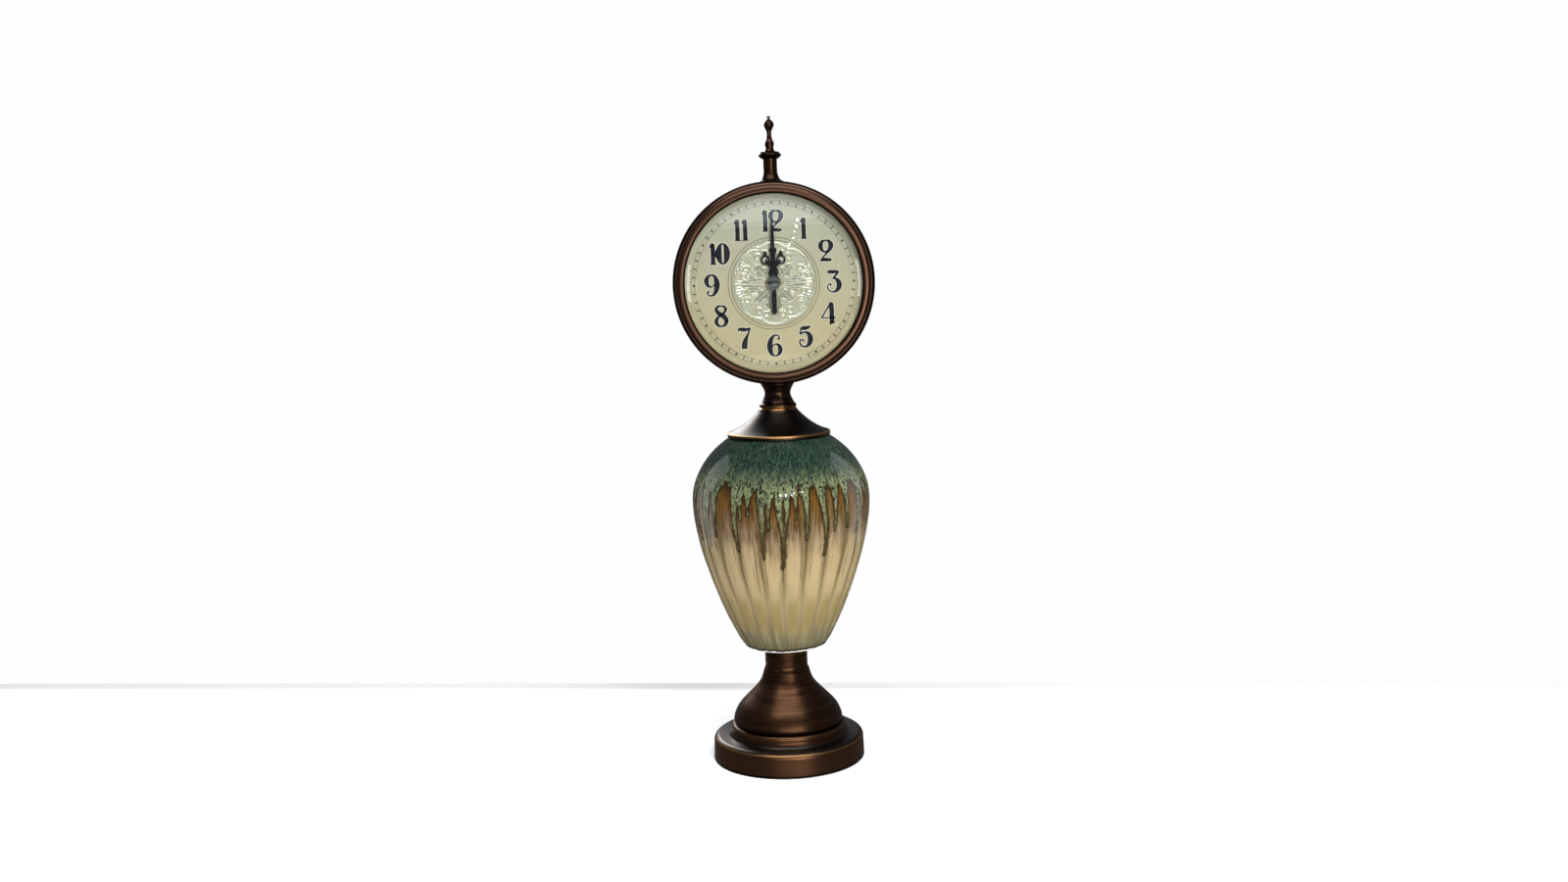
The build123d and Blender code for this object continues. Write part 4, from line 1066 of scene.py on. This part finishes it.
def urn_heights():
    """Heights in mm of the outer skin's rows, from the foot to the top."""
    heights = []
    for low, high, pitch in ROW_BANDS:
        steps = round((high - low) / pitch)
        heights += [low + (high - low) * step / steps for step in range(steps)]
    heights.append(DRAWN_HEIGHT)
    return [value * URN_HEIGHT / DRAWN_HEIGHT for value in heights]


def make_urn():
    """The urn in place of the plain CAD body: fluted, with the glaze standing proud in runs."""
    surface = BVHTree.FromObject(NODES["ceramic_body"], bpy.context.evaluated_depsgraph_get())
    drips = make_drips()
    points = []
    stored = {"drip": [], "flute": [], "trail": []}
    turns = [TURN * side / URN_SIDES for side in range(URN_SIDES)]

    def add_point(radius, angle, height, *values):
        """A point at a radius in metres, with its depth in a run, depth in a flute and trail."""
        level = URN_FOOT + height * MM
        points.append((radius * math.cos(angle), radius * math.sin(angle), level))
        for value, kept in zip(values, stored.values()):
            kept.append(value)

    heights = urn_heights()
    for height in heights:
        level = URN_FOOT + min(max(height, INSET), URN_HEIGHT - INSET) * MM
        radius = cad_radius(surface, level, False) / MM
        above_foot = smooth((height - 1.0) / 3.0)
        depth = FLUTE_DEPTH * smooth((118.0 - height) / 55.0) * above_foot
        swell = 0.35 * math.exp(-(((height - 4.2) / 1.6) ** 2))
        for angle in turns:
            spot = Vector((math.cos(angle) * 2.5, math.sin(angle) * 2.5, height / 26.0))
            wander = noise.noise(spot)
            panel = abs(math.sin(FLUTES * (angle + FLUTE_WANDER * wander) / 2))
            groove = 1 - panel**0.75
            run, trail = drip_depth(drips, angle, height, radius)
            proud = DRIP_RELIEF * (smooth((run + 0.6) / 1.6) - 1) * smooth((height - 50.0) / 12.0)
            here = radius - depth * groove + proud + swell * (panel - 0.6) * above_foot
            add_point(min(here, radius) * MM, angle, height, run, groove, trail)
    top = URN_HEIGHT - INSET
    inner_heights = [top, URN_HEIGHT - 1.0, URN_HEIGHT - 3.0]
    inner_heights += [URN_HEIGHT * share for share in INNER_SHARES]
    inner_heights += [3.0, 1.5, INSET]
    for height in inner_heights:
        radius = cad_radius(surface, URN_FOOT + height * MM, True)
        level = {top: URN_HEIGHT, INSET: 0.0}.get(height, height)
        for angle in turns:
            add_point(radius, angle, level, -DEPTH_LIMIT, 0.0, 0.0)
    faces = row_faces(len(heights) + len(inner_heights), URN_SIDES)
    finish = MATERIALS["glaze"]
    urn = add_piece("glazed_urn", points, faces, finish, "clock", use_smooth=True)
    for name, values in stored.items():
        store(urn, name, values)
    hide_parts("ceramic_body")
    return urn


# ---- studio

# the table's back edge, how far it slants, its front edge and half its width, in metres
TABLE_EDGE = 0.19
TABLE_SKEW = 0.112
TABLE_FRONT = -0.95
TABLE_HALF = 1.15
# painted shade along the back edge: where it begins and is full, in mm from the edge
EDGE_SHADE_FADE = (-30, -12)
# strength of the white surroundings for light, in reflections and as seen by the camera
WORLD_DIFFUSE = 0.4
WORLD_GLOSSY = 0.09
WORLD_SEEN = 1.0
# sideways place, height and power of the small lamps whose reflections show in the glass
GLINTS = ((0.162, 0.746, 0.12), (0.155, 0.7, 0.1), (0.13, 0.626, 0.08), (0.105, 0.584, 0.05))
# the same for the lamps that put window shapes on the urn's glaze
WINDOWS = ((0.16, 0.74, 1.0), (0.46, 0.84, 0.8), (0.04, 0.62, 0.5))


def make_stage():
    """A pale table top whose back edge is a little behind the clock, with painted shade along that
    edge.
    """
    mat = Shader("studio_paper")
    x, y, z = mat.place()
    fibre = mat.noise(mat.vector(x, y, z), 0.02, 2.0)
    white = mat.mix(fibre, (0.9, 0.905, 0.91), (0.93, 0.935, 0.94))
    behind = mat.plus(y, mat.times(x, TABLE_SKEW))
    # painted shade: a grey band along the back edge, where a wall would meet the table
    edge_shade = mat.step(behind, *[1000 * TABLE_EDGE + offset for offset in EDGE_SHADE_FADE])
    mat.set(
        base_color=mat.mix(edge_shade, white, (0.56, 0.562, 0.565)),
        roughness=0.85,
        specular_ior_level=0.1,
    )
    points = [(side, TABLE_FRONT, 0.0) for side in (-TABLE_HALF, TABLE_HALF)]
    points += [(side, TABLE_EDGE - TABLE_SKEW * side, 0.0) for side in (TABLE_HALF, -TABLE_HALF)]
    mesh = bpy.data.meshes.new("studio_table")
    mesh.from_pydata(points, [], [(0, 1, 2, 3)])
    mesh.materials.append(mat.material)
    table = bpy.data.objects.new("studio_table", mesh)
    bpy.context.scene.collection.objects.link(table)
    table.visible_glossy = False
    return table


def add_light(name, place, target, size, power, colour=(1, 1, 1), only=None, **visible):
    """A soft panel of a width and height in metres, for everything or only for one group."""
    lamp = bpy.data.lights.new(name, "AREA")
    lamp.shape = "RECTANGLE"
    lamp.size, lamp.size_y = size
    lamp.energy = power
    lamp.color = colour
    panel = bpy.data.objects.new(name, lamp)
    bpy.context.scene.collection.objects.link(panel)
    heading = (Vector(target) - Vector(place)).to_track_quat("-Z", "Y")
    panel.matrix_world = Matrix.Translation(place) @ heading.to_matrix().to_4x4()
    panel.visible_camera = False
    panel.visible_diffuse = visible.get("diffuse", True)
    panel.visible_glossy = panel.visible_transmission = visible.get("glossy", True)
    if only:
        panel.light_linking.receiver_collection = only


def group(name, members):
    """A collection that a light can be limited to."""
    made = bpy.data.collections.new(name)
    for member in members:
        made.objects.link(member)
    return made


def node_group(name, belongs):
    """The same of the CAD nodes whose name passes a test."""
    return group(name, [node for key, node in NODES.items() if belongs(key)])


def is_bronze(name):
    return SLOT_OF[name].startswith("bronze")


def make_lights(urn, wires, medallion, table):
    """The studio's lamps, many of them for one group of pieces each."""
    urn_group = group("ceramics", [urn])
    metalwork = node_group("metalwork", is_bronze)
    footing = node_group("footing", lambda name: name in ("base_shell", "base_collar"))
    headgear = node_group("headgear", lambda name: is_bronze(name) and "base" not in name)
    glass = group("glass", [NODES["lens"]])
    silver = group("silver", [medallion])
    wire_group = group("wires", wires)
    bright = group("bright", [NODES["lens"], NODES["dial_spacer"]])
    paper = group("paper", [table])
    front_parts = ("lens", "front_bezel", "ceramic_body")
    behind = node_group("behind", lambda name: name not in front_parts)
    centre, body, urn_middle = (0, 0, 0.25), (0, 0, 0.28), (0, 0, 0.2)
    low, foot, floor = (0, 0, 0.1), (0, 0, 0.04), (0, -0.3, 0)
    # name, place, target, size, power, colour
    for lamp in (
        ("key", (0.45, -1.05, 1.25), body, (0.6, 0.6), 13.0, (1.0, 0.98, 0.95)),
        ("front", (0.72, -1.6, 0.55), body, (0.8, 0.6), 15.0, (1.0, 0.99, 0.96)),
        ("ceiling", (0.0, -0.75, 1.55), centre, (1.8, 0.7), 4.0, (0.94, 0.98, 1.0)),
    ):
        add_light(*lamp, glossy=False)
    # the same, and the group that it lights
    for *lamp, only in (
        ("strip", (0.46, -1.15, 0.42), centre, (0.42, 0.9), 3.2, (1.0, 0.94, 0.86), headgear),
        ("low_strip", (0.4, -1.15, 0.2), low, (0.34, 0.44), 0.9, (1.0, 0.92, 0.82), footing),
        ("glow", (0.16, -1.2, 0.12), foot, (1.1, 0.2), 2.6, (1.0, 0.95, 0.88), metalwork),
        ("header", (0.1, -1.5, 0.98), HEAD, (1.7, 0.46), 4.2, (0.82, 0.93, 1.0), glass),
        ("skylight", (0.0, -0.7, 1.6), centre, (1.6, 0.6), 8.0, (0.95, 0.98, 1.0), metalwork),
        ("sparkle", (0.05, -1.3, 0.98), HEAD, (0.9, 0.4), 95.0, (0.97, 1.0, 1.0), silver),
        ("wash", (0.0, -0.6, 1.8), floor, (2.6, 1.8), 54.0, (1, 1, 1), paper),
        ("rear", (-0.5, 1.3, 0.85), centre, (0.7, 0.7), 9.0, (0.98, 0.99, 1.0), behind),
    ):
        add_light(*lamp, only=only, diffuse=only is not silver)
    for side in (-1, 1):
        edge = (f"edge_{side + 1}", (side * 0.85, 0.35, 0.34), urn_middle, (0.5, 1.2), 1.4)
        add_light(*edge, (0.95, 0.98, 1.0), only=urn_group)
        bevel = (f"bevel_{side + 1}", (side * 1.155, -0.63, 0.38), HEAD, (0.07, 0.5), 0.8)
        add_light(*bevel, only=bright, diffuse=False)
        wire = (f"wire_{side + 1}", (side * 1.155, -0.63, 0.44), HEAD, (0.12, 0.45), 36.0)
        add_light(*wire, only=wire_group, diffuse=False)
    for index, (x, z, power) in enumerate(WINDOWS):
        place = (x, -1.45, z)
        add_light(f"window_{index}", place, urn_middle, (0.045, 0.07), power, only=urn_group)
    for index, (x, z, power) in enumerate(GLINTS):
        place = (x, -1.5, z)
        add_light(f"glint_{index}", place, HEAD, (0.013, 0.015), 0.42 * power, only=glass)


def make_world():
    """White surroundings, much weaker in reflections than as seen by the camera."""
    world = bpy.data.worlds.new("studio_air")
    world.use_nodes = True
    tree = world.node_tree
    background = tree.nodes["Background"]
    path = tree.nodes.new("ShaderNodeLightPath")
    strength = WORLD_DIFFUSE
    for ray, value in (("Is Glossy Ray", WORLD_GLOSSY), ("Is Camera Ray", WORLD_SEEN)):
        blend = tree.nodes.new("ShaderNodeMix")
        tree.links.new(path.outputs[ray], blend.inputs["Factor"])
        blend.inputs[MIX_NUMBER_B].default_value = value
        if isinstance(strength, float):
            blend.inputs[MIX_NUMBER_A].default_value = strength
        else:
            tree.links.new(strength, blend.inputs[MIX_NUMBER_A])
        strength = blend.outputs[MIX_NUMBER_RESULT]
    tree.links.new(strength, background.inputs["Strength"])
    background.inputs["Color"].default_value = (0.99, 0.995, 1.0, 1.0)
    bpy.context.scene.world = world


# place in metres, tilt and roll in degrees, and focal length and sensor width in mm
CAMERA_PLACE = (0.0036, -1.083, 0.371)
CAMERA_PITCH = -6.9
CAMERA_ROLL = -1.88
CAMERA_LENS = 33.75
CAMERA_SENSOR = 36
CAMERA_CLIP = 0.01


def make_camera():
    """The camera of the photo."""
    lens = bpy.data.cameras.new("camera")
    lens.lens = CAMERA_LENS
    lens.sensor_width = CAMERA_SENSOR
    lens.clip_start = CAMERA_CLIP
    camera = bpy.data.objects.new("camera", lens)
    bpy.context.scene.collection.objects.link(camera)
    tilt = Matrix.Rotation(math.radians(90 + CAMERA_PITCH), 4, "X")
    roll = Matrix.Rotation(math.radians(CAMERA_ROLL), 4, "Z")
    camera.matrix_world = Matrix.Translation(CAMERA_PLACE) @ tilt @ roll
    bpy.context.scene.camera = camera
    bpy.context.scene.view_settings.view_transform = "Standard"


# ---- the scene

make_camera()
for name, node in NODES.items():
    node.material_slots[0].material = MATERIALS[SLOT_OF[name]]
NODES["lens"].visible_shadow = False
make_numerals()
make_lights(make_urn(), make_minute_track(), make_medallion(), make_stage())
make_world()
